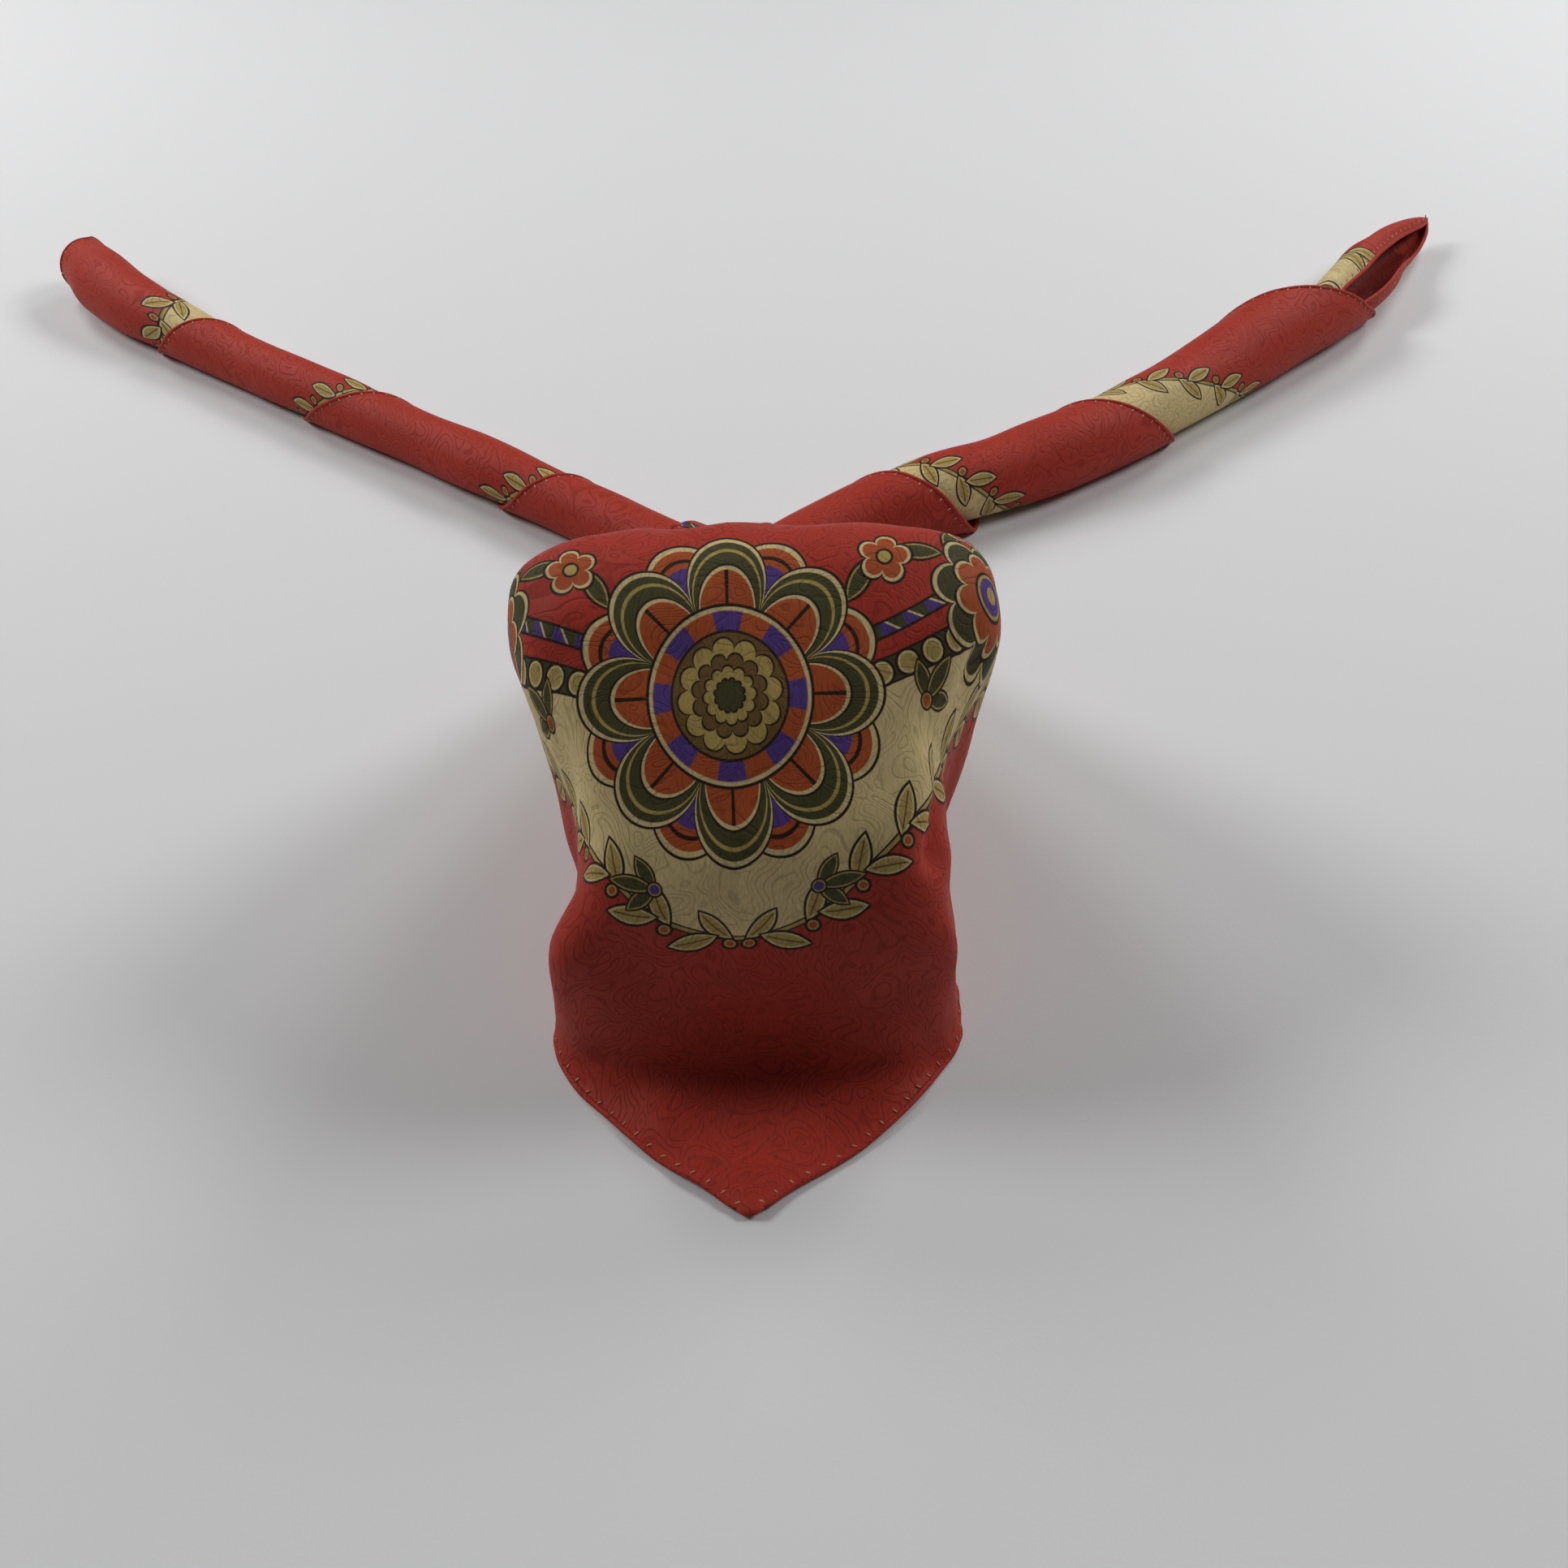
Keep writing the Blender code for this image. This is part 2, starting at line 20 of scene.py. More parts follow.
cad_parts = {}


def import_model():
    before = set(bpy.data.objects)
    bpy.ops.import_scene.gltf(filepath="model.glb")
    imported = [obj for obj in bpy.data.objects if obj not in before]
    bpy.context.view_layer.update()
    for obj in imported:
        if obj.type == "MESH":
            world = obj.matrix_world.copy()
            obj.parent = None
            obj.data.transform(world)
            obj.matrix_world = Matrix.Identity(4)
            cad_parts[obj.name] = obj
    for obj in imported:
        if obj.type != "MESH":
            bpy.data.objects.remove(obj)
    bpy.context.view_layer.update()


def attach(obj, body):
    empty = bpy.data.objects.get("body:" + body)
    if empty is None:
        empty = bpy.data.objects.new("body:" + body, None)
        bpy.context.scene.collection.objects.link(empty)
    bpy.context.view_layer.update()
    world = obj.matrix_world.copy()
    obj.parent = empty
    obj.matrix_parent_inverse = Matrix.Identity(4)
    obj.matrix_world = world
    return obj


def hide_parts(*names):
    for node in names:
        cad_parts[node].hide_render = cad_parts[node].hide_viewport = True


log = logging.getLogger("neckerchief")

BODY = "root"
PRINT_MAP = "print"


class Dye(Enum):
    """The dyes of the cloth, and one red darkened as painted shade, as linear colours."""

    RED = (0.372, 0.036, 0.021)
    # Painted shade: the cloth's red darkened to about half, for the fold inside the open corner and
    # the layers rolled inside the tails.
    PAINTED_SHADE_RED = (0.190, 0.020, 0.013)
    CREAM = (0.600, 0.470, 0.225)
    GOLD = (0.400, 0.290, 0.085)
    BROWN = (0.150, 0.085, 0.025)
    OLIVE = (0.062, 0.058, 0.020)
    RUST = (0.380, 0.075, 0.020)
    VIOLET = (0.085, 0.042, 0.200)
    DARK = (0.026, 0.013, 0.008)
    THREAD = (0.600, 0.260, 0.130)

    @property
    def rgba(self) -> tuple[float, float, float, float]:
        """The dye with full cover."""
        return (*self.value, 1.0)


class Side(Enum):
    """Which way a tail runs along the roll."""

    LEFT = -1.0
    RIGHT = 1.0


# Sizes of the form, in metres


class FrontRow(NamedTuple):
    """One line across the draped front: its middle, shoulders and the feet of its edges."""

    y: float
    z: float
    left: float
    right: float
    lag: float
    bend: float
    left_foot_x: float
    left_foot_y: float
    right_foot_x: float
    right_foot_y: float
    foot_z: float


class AxisRow(NamedTuple):
    """A point of the roll's middle line, with the roll's radius there."""

    x: float
    y: float
    radius: float


class PassRow(NamedTuple):
    """Where one pass of the winding hem crosses the bottom, back, front and bottom again."""

    below: float
    back: float
    front: float
    below_again: float


class LipRow(NamedTuple):
    """How far a stretch's hem stands off the roll, and towards which angle."""

    gape: float
    angle: float


class CurlRow(NamedTuple):
    """A point of the open corner's middle line, with its radius and the cloth's two edges."""

    x: float
    y: float
    z: float
    radius: float
    near_edge: float
    far_edge: float


class FoldRow(NamedTuple):
    """A soft fold in space, from one point to another, with its half width and depth."""

    x0: float
    y0: float
    z0: float
    x1: float
    y1: float
    z1: float
    width: float
    depth: float


class CreaseRow(NamedTuple):
    """A small crease laid on the flat cloth, in centimetres, with its depth in millimetres."""

    across0: float
    along0: float
    across1: float
    along1: float
    width: float
    depth: float


class WaveRow(NamedTuple):
    """A soft wave over the cloth: how fast it runs two ways, its start and its height."""

    first: float
    second: float
    start: float
    height: float

    def at(self, first: np.ndarray, second: np.ndarray) -> np.ndarray:
        """The wave's height at a place."""
        return self.height * np.sin(self.first * first + self.second * second + self.start)


class CurlLayer(NamedTuple):
    """A layer of the open corner: how far inside it lies and which part of the curl it fills."""

    inset: float
    near: float
    far: float
    start: float
    end: float


class LampRow(NamedTuple):
    """A lamp: where it hangs, what it is aimed at, its share of the light and its spread."""

    place: tuple[float, float, float]
    target: tuple[float, float, float]
    share: float
    spread: float


LIFT = 0.0012

FRONT_TABLE = tuple(
    FrontRow(*row)
    for row in (
        (-0.229, LIFT, 0.0006, 0.0008, 0.0, 0.0002, -0.0012, -0.2288, 0.002, -0.2288, LIFT),
        (-0.222, LIFT, 0.005, 0.0055, 0.0, 0.001, -0.009, -0.222, 0.0094, -0.2224, LIFT),
        (-0.212, 0.0016, 0.012, 0.0135, 0.0, 0.004, -0.0222, -0.212, 0.0252, -0.2124, LIFT),
        (-0.202, 0.0028, 0.019, 0.022, 0.0, 0.006, -0.0328, -0.2012, 0.037, -0.202, LIFT),
        (-0.1948, 0.0066, 0.0275, 0.03, 0.001, 0.008, -0.042, -0.1915, 0.045, -0.1925, LIFT),
        (-0.1926, 0.016, 0.0365, 0.039, 0.002, 0.01, -0.047, -0.18, 0.0508, -0.184, 0.001),
        (-0.1922, 0.03, 0.0412, 0.0464, 0.004, 0.011, -0.0468, -0.1695, 0.053, -0.1745, 0.0004),
        (-0.1916, 0.045, 0.0416, 0.0484, 0.004, 0.011, -0.0452, -0.161, 0.0524, -0.1645, 0.0),
        (-0.1902, 0.06, 0.0384, 0.0464, 0.006, 0.013, -0.0434, -0.153, 0.0508, -0.156, 0.0),
        (-0.1856, 0.073, 0.0348, 0.0456, 0.006, 0.0135, -0.0428, -0.146, 0.0496, -0.148, 0.0),
        (-0.175, 0.085, 0.0352, 0.0468, 0.005, 0.014, -0.042, -0.139, 0.0492, -0.14, 0.0),
        (-0.168, 0.092, 0.0388, 0.0464, 0.0045, 0.0148, -0.042, -0.135, 0.0484, -0.1358, 0.0),
        (-0.161, 0.0985, 0.0432, 0.0508, 0.004, 0.0155, -0.042, -0.131, 0.0482, -0.1315, 0.0),
        (-0.1465, 0.1102, 0.0502, 0.0626, 0.003, 0.019, -0.0424, -0.1225, 0.0486, -0.1225, 0.0),
        (-0.1335, 0.116, 0.052, 0.0634, 0.002, 0.0205, -0.043, -0.1135, 0.0494, -0.113, 0.0),
        (-0.1205, 0.1138, 0.0502, 0.0608, 0.0, 0.0205, -0.0434, -0.103, 0.05, -0.1025, 0.0),
        (-0.106, 0.1026, 0.0476, 0.0562, 0.0, 0.017, -0.0436, -0.0905, 0.0498, -0.09, 0.0),
        (-0.09, 0.0868, 0.0464, 0.0536, 0.0, 0.016, -0.043, -0.077, 0.049, -0.0765, 0.0),
        (-0.074, 0.07, 0.0424, 0.0478, 0.0, 0.015, -0.0412, -0.063, 0.0462, -0.0625, 0.0),
        (-0.058, 0.0535, 0.0376, 0.0412, 0.0, 0.013, -0.0384, -0.049, 0.042, -0.0485, 0.0),
        (-0.041, 0.0388, 0.032, 0.0344, 0.001, 0.011, -0.0344, -0.0345, 0.0368, -0.0345, 0.0),
        (-0.024, 0.0286, 0.027, 0.0274, 0.003, 0.008, -0.0298, -0.0195, 0.03, -0.02, 0.0),
    )
)
CREST_ROW = 14
SLOPE_END_ROW = 21

FOLD_TABLE = (
    FoldRow(0.056, -0.15, 0.092, 0.0455, -0.179, 0.064, 0.005, -0.0034),
    FoldRow(0.048, -0.172, 0.056, 0.0505, -0.164, 0.02, 0.007, 0.0022),
    FoldRow(-0.042, -0.164, 0.086, -0.038, -0.182, 0.06, 0.006, -0.0016),
    FoldRow(-0.043, -0.184, 0.042, -0.047, -0.176, 0.01, 0.008, 0.002),
    FoldRow(0.003, -0.193, 0.038, 0.006, -0.195, 0.008, 0.017, -0.0022),
    FoldRow(-0.018, -0.206, 0.002, 0.001, -0.216, 0.0015, 0.0035, 0.001),
)
COVER_ANGLES = (116.0, 94.0, 72.0, 50.0, 30.0)

CREASE_TABLE = tuple(
    CreaseRow(*row)
    for row in (
        (-1.9, 1.7, -0.2, 0.7, 0.3, 1.3),
        (-1.6, 2.6, 0.7, 1.5, 0.32, -1.0),
        (-2.8, 3.2, -1.3, 2.6, 0.35, 0.9),
        (-0.2, 0.6, 0.5, 0.1, 0.22, 0.9),
        (2.5, 3.0, 4.2, 4.4, 0.35, 1.2),
        (1.4, 2.6, 3.4, 4.2, 0.45, -0.9),
        (0.8, 3.6, 3.6, 5.2, 0.7, 0.8),
        (-4.4, 5.4, -2.4, 4.1, 0.5, -1.0),
        (-3.8, 7.6, -2.2, 5.0, 0.8, 1.1),
        (-1.4, 5.6, 1.6, 4.4, 0.8, -0.8),
        (3.6, 8.6, 2.0, 5.2, 0.8, 1.0),
        (4.4, 12.6, 4.9, 15.2, 0.45, -0.7),
        (3.4, 11.6, 3.9, 14.0, 0.6, 0.4),
        (5.2, 16.9, 3.6, 15.3, 0.5, -0.5),
        (-3.9, 14.8, -4.6, 11.2, 0.5, -0.6),
        (-5.0, 17.2, -3.2, 15.4, 0.6, 0.4),
        (-2.4, 12.2, -3.3, 9.6, 0.7, -0.4),
        (-3.6, 20.0, -1.6, 29.0, 0.9, -2.2),
        (-0.6, 21.5, -0.4, 29.5, 0.8, 1.9),
        (2.4, 20.5, 0.7, 29.0, 0.75, -2.0),
        (4.4, 21.0, 2.2, 28.5, 0.7, 1.6),
        (-2.0, 19.0, 1.6, 21.4, 0.9, -0.9),
        (-6.8, 16.5, -8.8, 21.5, 0.8, 1.5),
        (-8.2, 15.5, -11.5, 17.5, 0.7, -1.3),
        (7.6, 17.5, 9.8, 22.0, 0.8, -1.5),
        (8.6, 14.0, 12.0, 16.5, 0.75, 1.3),
        (-7.0, 12.5, -10.5, 13.8, 0.7, 1.1),
    )
)

ROLL_AXIS = (
    AxisRow(-0.2832, 0.2478, 0.0094),
    AxisRow(-0.2768, 0.2348, 0.0132),
    AxisRow(-0.2655, 0.2172, 0.0138),
    AxisRow(-0.247, 0.1958, 0.0126),
    AxisRow(-0.2179, 0.1706, 0.0108),
    AxisRow(-0.1836, 0.1426, 0.0099),
    AxisRow(-0.1495, 0.115, 0.0103),
    AxisRow(-0.1211, 0.0935, 0.0099),
    AxisRow(-0.089, 0.0677, 0.0104),
    AxisRow(-0.0648, 0.0485, 0.0102),
    AxisRow(-0.034, 0.0222, 0.0104),
    AxisRow(-0.0165, 0.0075, 0.0108),
    AxisRow(-0.004, -0.0012, 0.011),
    AxisRow(0.01, 0.0046, 0.0112),
    AxisRow(0.03, 0.0205, 0.0118),
    AxisRow(0.055, 0.0352, 0.0126),
    AxisRow(0.0727, 0.043, 0.013),
    AxisRow(0.0901, 0.0511, 0.0128),
    AxisRow(0.1141, 0.0646, 0.0134),
    AxisRow(0.1434, 0.0865, 0.013),
    AxisRow(0.1747, 0.113, 0.0133),
    AxisRow(0.2046, 0.14, 0.0145),
    AxisRow(0.2305, 0.1637, 0.0145),
    AxisRow(0.2425, 0.1758, 0.0139),
    AxisRow(0.2508, 0.1865, 0.0136),
    AxisRow(0.259, 0.1975, 0.0118),
)
MIDDLE_ROW = 12
LEFT_START = 0.0235
RIGHT_START = 0.0200

LEFT_PASSES = (
    PassRow(LEFT_START, LEFT_START, LEFT_START, LEFT_START),
    PassRow(0.044, 0.063, 0.087, 0.108),
    PassRow(0.108, 0.15, 0.189, 0.208),
    PassRow(0.208, 0.245, 0.275, 0.293),
    PassRow(0.36, 0.365, 0.3585, 0.36),
)
RIGHT_PASSES = (
    PassRow(RIGHT_START, RIGHT_START, RIGHT_START, RIGHT_START),
    PassRow(0.038, 0.048, 0.0815, 0.099),
    PassRow(0.099, 0.13, 0.169, 0.188),
    PassRow(0.188, 0.221, 0.29, 0.316),
)
LEFT_LIPS = (
    LipRow(0.0004, 180.0),
    LipRow(0.0002, 180.0),
    LipRow(0.0004, 200.0),
    LipRow(-0.001, 90.0),
)
RIGHT_LIPS = (LipRow(0.0030, 205.0), LipRow(0.0012, 180.0), LipRow(0.0018, 120.0))

RIGHT_CURL = (
    CurlRow(0.164, 0.104, 0.0126, 0.0092, 100.0, 380.0),
    CurlRow(0.185, 0.1222, 0.0126, 0.0096, 98.0, 376.0),
    CurlRow(0.2046, 0.1395, 0.0126, 0.0096, 94.0, 370.0),
    CurlRow(0.2225, 0.1545, 0.0122, 0.0088, 92.0, 366.0),
    CurlRow(0.233, 0.1645, 0.0122, 0.0104, 112.0, 368.0),
    CurlRow(0.243, 0.1755, 0.0122, 0.0119, 116.0, 372.0),
    CurlRow(0.251, 0.1865, 0.012, 0.0122, 118.0, 378.0),
    CurlRow(0.259, 0.198, 0.0112, 0.0104, 116.0, 368.0),
    CurlRow(0.268, 0.21, 0.0104, 0.0091, 110.0, 350.0),
    CurlRow(0.2772, 0.2208, 0.0096, 0.007, 100.0, 336.0),
    CurlRow(0.2846, 0.229, 0.0096, 0.004, 84.0, 330.0),
    CurlRow(0.288, 0.2326, 0.011, 0.0004, 90.0, 330.0),
)

TUCK_ANGLE = 44.0
OUTER_LAYER = CurlLayer(0.0, -TUCK_ANGLE, 0.0, 0.0, len(RIGHT_CURL) - 1.0)
INNER_FOLD = CurlLayer(0.0017, 40.0, 34.0, 3.0, 8.6)

FRONT_WAVES = (
    WaveRow(1.3, 0.9, 0.0, 1.0),
    WaveRow(-0.7, 1.9, 1.1, 1.0),
    WaveRow(2.6, 2.2, 0.5, 0.6),
    WaveRow(-2.3, 3.1, 0.0, 0.5),
)
TAIL_WAVES = (
    WaveRow(150.0, 60.0, 0.0, 1.0),
    WaveRow(-120.0, 95.0, 2.0, 1.0),
)
TAIL_HEM_WAVE = WaveRow(310.0, 35.0, 0.0, 0.8)

LAMPS = (
    LampRow((-1.6, 0.3, 1.35), (0.0, 0.1, 0.0), 0.9, 180.0),
    LampRow((1.6, 0.28, 1.4), (0.0, 0.1, 0.0), 0.88, 180.0),
    LampRow((-0.95, 1.05, 1.15), (-0.62, 0.42, 0.0), 0.15, 84.0),
    LampRow((0.95, 1.05, 1.15), (0.62, 0.42, 0.0), 0.15, 84.0),
)

TINY = 1e-9
FULL_TURN = 360.0
DIAGONAL = math.sqrt(0.5)

Number = Union[float, "Field"]


# Reading the tables


def smooth_row(table: np.ndarray, place: float) -> np.ndarray:
    """Reads a table at a place between its rows, on a smooth curve through them.

    Args:
        table: One row of numbers for each point.
        place: The row number, with its fraction.

    Returns:
        The numbers at that place.
    """
    last = len(table) - 1
    place = min(max(place, 0.0), float(last))
    start = min(int(place), last - 1)
    part = place - start
    before = table[start - 1] if start > 0 else 2.0 * table[0] - table[1]
    after = table[start + 2] if start + 2 <= last else 2.0 * table[last] - table[last - 1]
    first, second = table[start], table[start + 1]
    return 0.5 * (
        2.0 * first
        + (second - before) * part
        + (2.0 * before - 5.0 * first + 4.0 * second - after) * part ** 2
        + (3.0 * first - before - 3.0 * second + after) * part ** 3
    )


def smooth_step(value: float, low: float, high: float) -> float:
    """Runs from 0 at low to 1 at high, level at both."""
    part = min(max((value - low) / (high - low), 0.0), 1.0)
    return part * part * (3.0 - 2.0 * part)


def run_lengths(points: np.ndarray) -> np.ndarray:
    """Distances along a line of points, from its first."""
    steps = np.linalg.norm(np.diff(points, axis=0), axis=1)
    return np.concatenate(([0.0], np.cumsum(steps)))


def grid_normals(grid: np.ndarray) -> np.ndarray:
    """Unit normals of a grid of points, on the cloth's outer side."""
    normals = np.cross(np.gradient(grid, axis=1), np.gradient(grid, axis=0))
    return normals / np.maximum(np.linalg.norm(normals, axis=2, keepdims=True), TINY ** 2)


class RollAxis:
    """The roll's middle line, read by the distance along it from the roll's middle."""

    squash: float = 0.93

    def __init__(self, rows: Sequence[AxisRow], middle_row: int) -> None:
        """Measures the line.

        Args:
            rows: The line's points, from the left tail's end to the right tail's.
            middle_row: The row at distance 0.
        """
        self.table = np.array(rows, dtype=float)
        self.lengths = run_lengths(self.table[:, :2])
        self.lengths -= self.lengths[middle_row]

    def at(self, distance: float) -> tuple[np.ndarray, np.ndarray, float]:
        """Reads the line.

        Args:
            distance: How far along the line.

        Returns:
            The middle point, the level direction to the back, and the radius.
        """
        place = float(np.interp(distance, self.lengths, np.arange(len(self.lengths))))
        row = smooth_row(self.table, place)
        ahead = smooth_row(self.table, place + 0.3) - smooth_row(self.table, place - 0.3)
        along = ahead[:2] / np.hypot(ahead[0], ahead[1])
        return row[:2], np.array([-along[1], along[0]]), float(row[2])

    def centre(self, distance: float) -> np.ndarray:
        """The point inside the roll that its cloth runs round, at a distance along it."""
        middle, _, full = self.at(distance)
        return np.array([middle[0], middle[1], full * self.squash])

    def point(self, distance: float, degrees: float, radius: float, floor: float) -> np.ndarray:
        """A point round the roll.

        Args:
            distance: How far along the line.
            degrees: The angle round it, from its back over its top.
            radius: How far from the middle line.
            floor: The least height that the point may have.

        Returns:
            The point.
        """
        middle, back, full = self.at(distance)
        angle = math.radians(degrees)
        reach = radius * math.cos(angle)
        height = full * self.squash + radius * math.sin(angle)
        level = middle + back * reach
        return np.array([level[0], level[1], max(height, floor)])


def distance_to_line(
    points: np.ndarray, start: np.ndarray, end: np.ndarray
) -> tuple[np.ndarray, np.ndarray]:
    """How far points lie from a straight run.

    Args:
        points: The points.
        start: Where the run starts.
        end: Where it ends.

    Returns:
        Each point's distance, and the share of the run at which it is nearest.
    """
    way = end - start
    part = np.clip((points - start) @ way / (way @ way), 0.0, 1.0)
    return np.linalg.norm(points - start - part[..., None] * way, axis=-1), part


# Mesh making


def new_piece(
    name: str, builder: bmesh.types.BMesh, material: bpy.types.Material
) -> bpy.types.Object:
    """Turns a finished mesh into a smooth piece of the scene.

    Args:
        name: The new piece's name.
        builder: The mesh, which is used up.
        material: The piece's finish.

    Returns:
        The new piece.
    """
    mesh = bpy.data.meshes.new(name)
    builder.to_mesh(mesh)
    builder.free()
    mesh.materials.append(material)
    mesh.shade_smooth()
    piece = bpy.data.objects.new(name, mesh)
    bpy.context.scene.collection.objects.link(piece)
    return piece


def unit(ways: np.ndarray) -> np.ndarray:
    """Directions made one metre long."""
    return ways / np.maximum(np.linalg.norm(ways, axis=-1, keepdims=True), TINY)


def lofted(
    name: str,
    points: np.ndarray,
    outward: np.ndarray,
    material: bpy.types.Material,
    flat: Optional[np.ndarray] = None,
    closed: bool = False,
) -> bpy.types.Object:
    """Makes a plane grid and moves its points to a worked-out surface.

    Args:
        name: The new piece's name.
        points: Where each point goes, by row and column.
        outward: The outer side's direction at each point.
        material: The piece's finish.
        flat: Where each point lies on the flat cloth, in metres.
        closed: True where the first and last columns meet and the ends are filled.

    Returns:
        The new piece.
    """
    rows, columns = points.shape[:2]
    builder = bmesh.new()
    bmesh.ops.create_grid(builder, x_segments=columns - 1, y_segments=rows - 1, size=1.0)
    place: dict[bmesh.types.BMVert, tuple[int, int]] = {}
    for vert in builder.verts:
        i = round((vert.co.y + 1.0) * 0.5 * (rows - 1))
        j = round((vert.co.x + 1.0) * 0.5 * (columns - 1))
        place[vert] = (i, j)
    layer = builder.loops.layers.uv.new(PRINT_MAP) if flat is not None else None
    for vert, (i, j) in place.items():
        vert.co = Vector(points[i, j])
        if layer is not None:
            for loop in vert.link_loops:
                loop[layer].uv = Vector(flat[i, j])
    builder.normal_update()
    if closed:
        bmesh.ops.remove_doubles(builder, verts=builder.verts, dist=1e-6)
        bmesh.ops.holes_fill(builder, edges=builder.edges)
        bmesh.ops.recalc_face_normals(builder, faces=builder.faces)
    else:
        agree = sum(vert.normal.dot(Vector(outward[at])) for vert, at in place.items())
        if agree < 0.0:
            bmesh.ops.reverse_faces(builder, faces=builder.faces)
    return new_piece(name, builder, material)


def thicken(piece: bpy.types.Object, thickness: float) -> None:
    """Gives a sheet its thickness, on its inner side.

    Args:
        piece: The sheet.
        thickness: Its thickness in metres.
    """
    wall = piece.modifiers.new("thickness", "SOLIDIFY")
    wall.thickness = thickness
    wall.offset = -1.0
    wall.use_rim = True


def bead(
    name: str, line: np.ndarray, radius: float, material: bpy.types.Material
) -> bpy.types.Object:
    """A thin round roll of cloth along a line of points.

    Args:
        name: The new piece's name.
        line: The points of its middle line.
        radius: Its radius.
        material: Its finish.

    Returns:
        The new piece.
    """
    sides, end_share = 8, 0.45
    ahead = np.gradient(line, axis=0)
    ahead /= np.maximum(np.linalg.norm(ahead, axis=1, keepdims=True), 1e-12)
    level = np.cross(ahead, np.array([0.0, 0.0, 1.0]))
    level /= np.maximum(np.linalg.norm(level, axis=1, keepdims=True), 1e-6)
    rise = np.cross(level, ahead)
    turns = np.linspace(0.0, 2.0 * math.pi, sides + 1)
    around = np.cos(turns)[None, :, None] * level[:, None]
    around += np.sin(turns)[None, :, None] * rise[:, None]
    taper = np.ones(len(line))
    taper[0] = taper[-1] = end_share
    points = line[:, None] + around * (radius * taper)[:, None, None]
    return lofted(name, points, around, material, closed=True)


def cut_size(flat: np.ndarray) -> tuple[tuple[float, float], float]:
    """The size of a piece's flat cut.

    Args:
        flat: Where the piece's points lie on the flat cloth, by row and column.

    Returns:
        Its width and length in metres, and its area in square metres.
    """
    first = flat[1:, :-1] - flat[:-1, :-1]
    second = flat[:-1, 1:] - flat[:-1, :-1]
    third = flat[1:, :-1] - flat[1:, 1:]
    fourth = flat[:-1, 1:] - flat[1:, 1:]
    halves = np.abs(first[..., 0] * second[..., 1] - first[..., 1] * second[..., 0])
    halves += np.abs(third[..., 0] * fourth[..., 1] - third[..., 1] * fourth[..., 0])
    area = 0.5 * float(halves.sum())
    spread = flat.reshape(-1, 2)
    best = None
    for degrees in range(0, 90, 5):
        angle = math.radians(degrees)
        turn = np.array([[math.cos(angle), math.sin(angle)], [-math.sin(angle), math.cos(angle)]])
        size = np.ptp(spread @ turn.T, axis=0)
        if best is None or size[0] * size[1] < best[0] * best[1]:
            best = size
    width, length = sorted(float(x) for x in best)
    return (width, length), min(area, width * length)


# The cloth's finish


def new_finish(name: str) -> tuple[bpy.types.Material, bpy.types.NodeTree, bpy.types.Node]:
    """A new material, its nodes and its shader.

    Args:
        name: The material's name.

    Returns:
        The material, its node tree and its shader node.
    """
    material = bpy.data.materials.new(name)
    material.use_nodes = True
    tree = material.node_tree
    return material, tree, tree.nodes["Principled BSDF"]


def noise(
    tree: bpy.types.NodeTree,
    vector: bpy.types.NodeSocket,
    scale: float,
    detail: float = 2.0,
    roughness: float = 0.5,
    distortion: float = 0.0,
) -> Field:
    """A soft noise over the piece.

    Args:
        tree: The material's nodes.
        vector: Where each place lies.
        scale: How fine the noise is.
        detail: How many finer noises it holds.
        roughness: How strong they are.
        distortion: How far it curls.

    Returns:
        A share from 0 to 1.
    """
    node = tree.nodes.new("ShaderNodeTexNoise")
    settings = (
        ("Scale", scale), ("Detail", detail), ("Roughness", roughness), ("Distortion", distortion)
    )
    for name, value in settings:
        node.inputs[name].default_value = value
    tree.links.new(vector, node.inputs["Vector"])
    return Field(tree, node.outputs["Fac"])


def on_object(tree: bpy.types.NodeTree) -> bpy.types.NodeSocket:
    """Where each place lies on the object."""
    return tree.nodes.new("ShaderNodeTexCoord").outputs["Object"]


def dye_shader(
    tree: bpy.types.NodeTree, shader: bpy.types.Node, colour: bpy.types.NodeSocket, tone: Field
) -> None:
    """Gives a shader its colour.

    Args:
        tree: The material's nodes.
        shader: The shader.
        colour: The dye at each place.
        tone: How bright it is there.
    """
    tinted = tree.nodes.new("ShaderNodeVectorMath")
    tinted.operation = "SCALE"
    tree.links.new(colour, tinted.inputs[0])
    tree.links.new(tone.socket, tinted.inputs["Scale"])
    tree.links.new(tinted.outputs[0], shader.inputs["Base Color"])


def relief(
    tree: bpy.types.NodeTree, shader: bpy.types.Node, height: Field, strength: float, depth: float
) -> None:
    """Gives a shader a fine relief.

    Args:
        tree: The material's nodes.
        shader: The shader.
        height: The relief's height at each place.
        strength: How much of it shows.
        depth: How deep it is, in metres.
    """
    bump = tree.nodes.new("ShaderNodeBump")
    bump.inputs["Strength"].default_value = strength
    bump.inputs["Distance"].default_value = depth
    tree.links.new(height.socket, bump.inputs["Height"])
    tree.links.new(bump.outputs["Normal"], shader.inputs["Normal"])


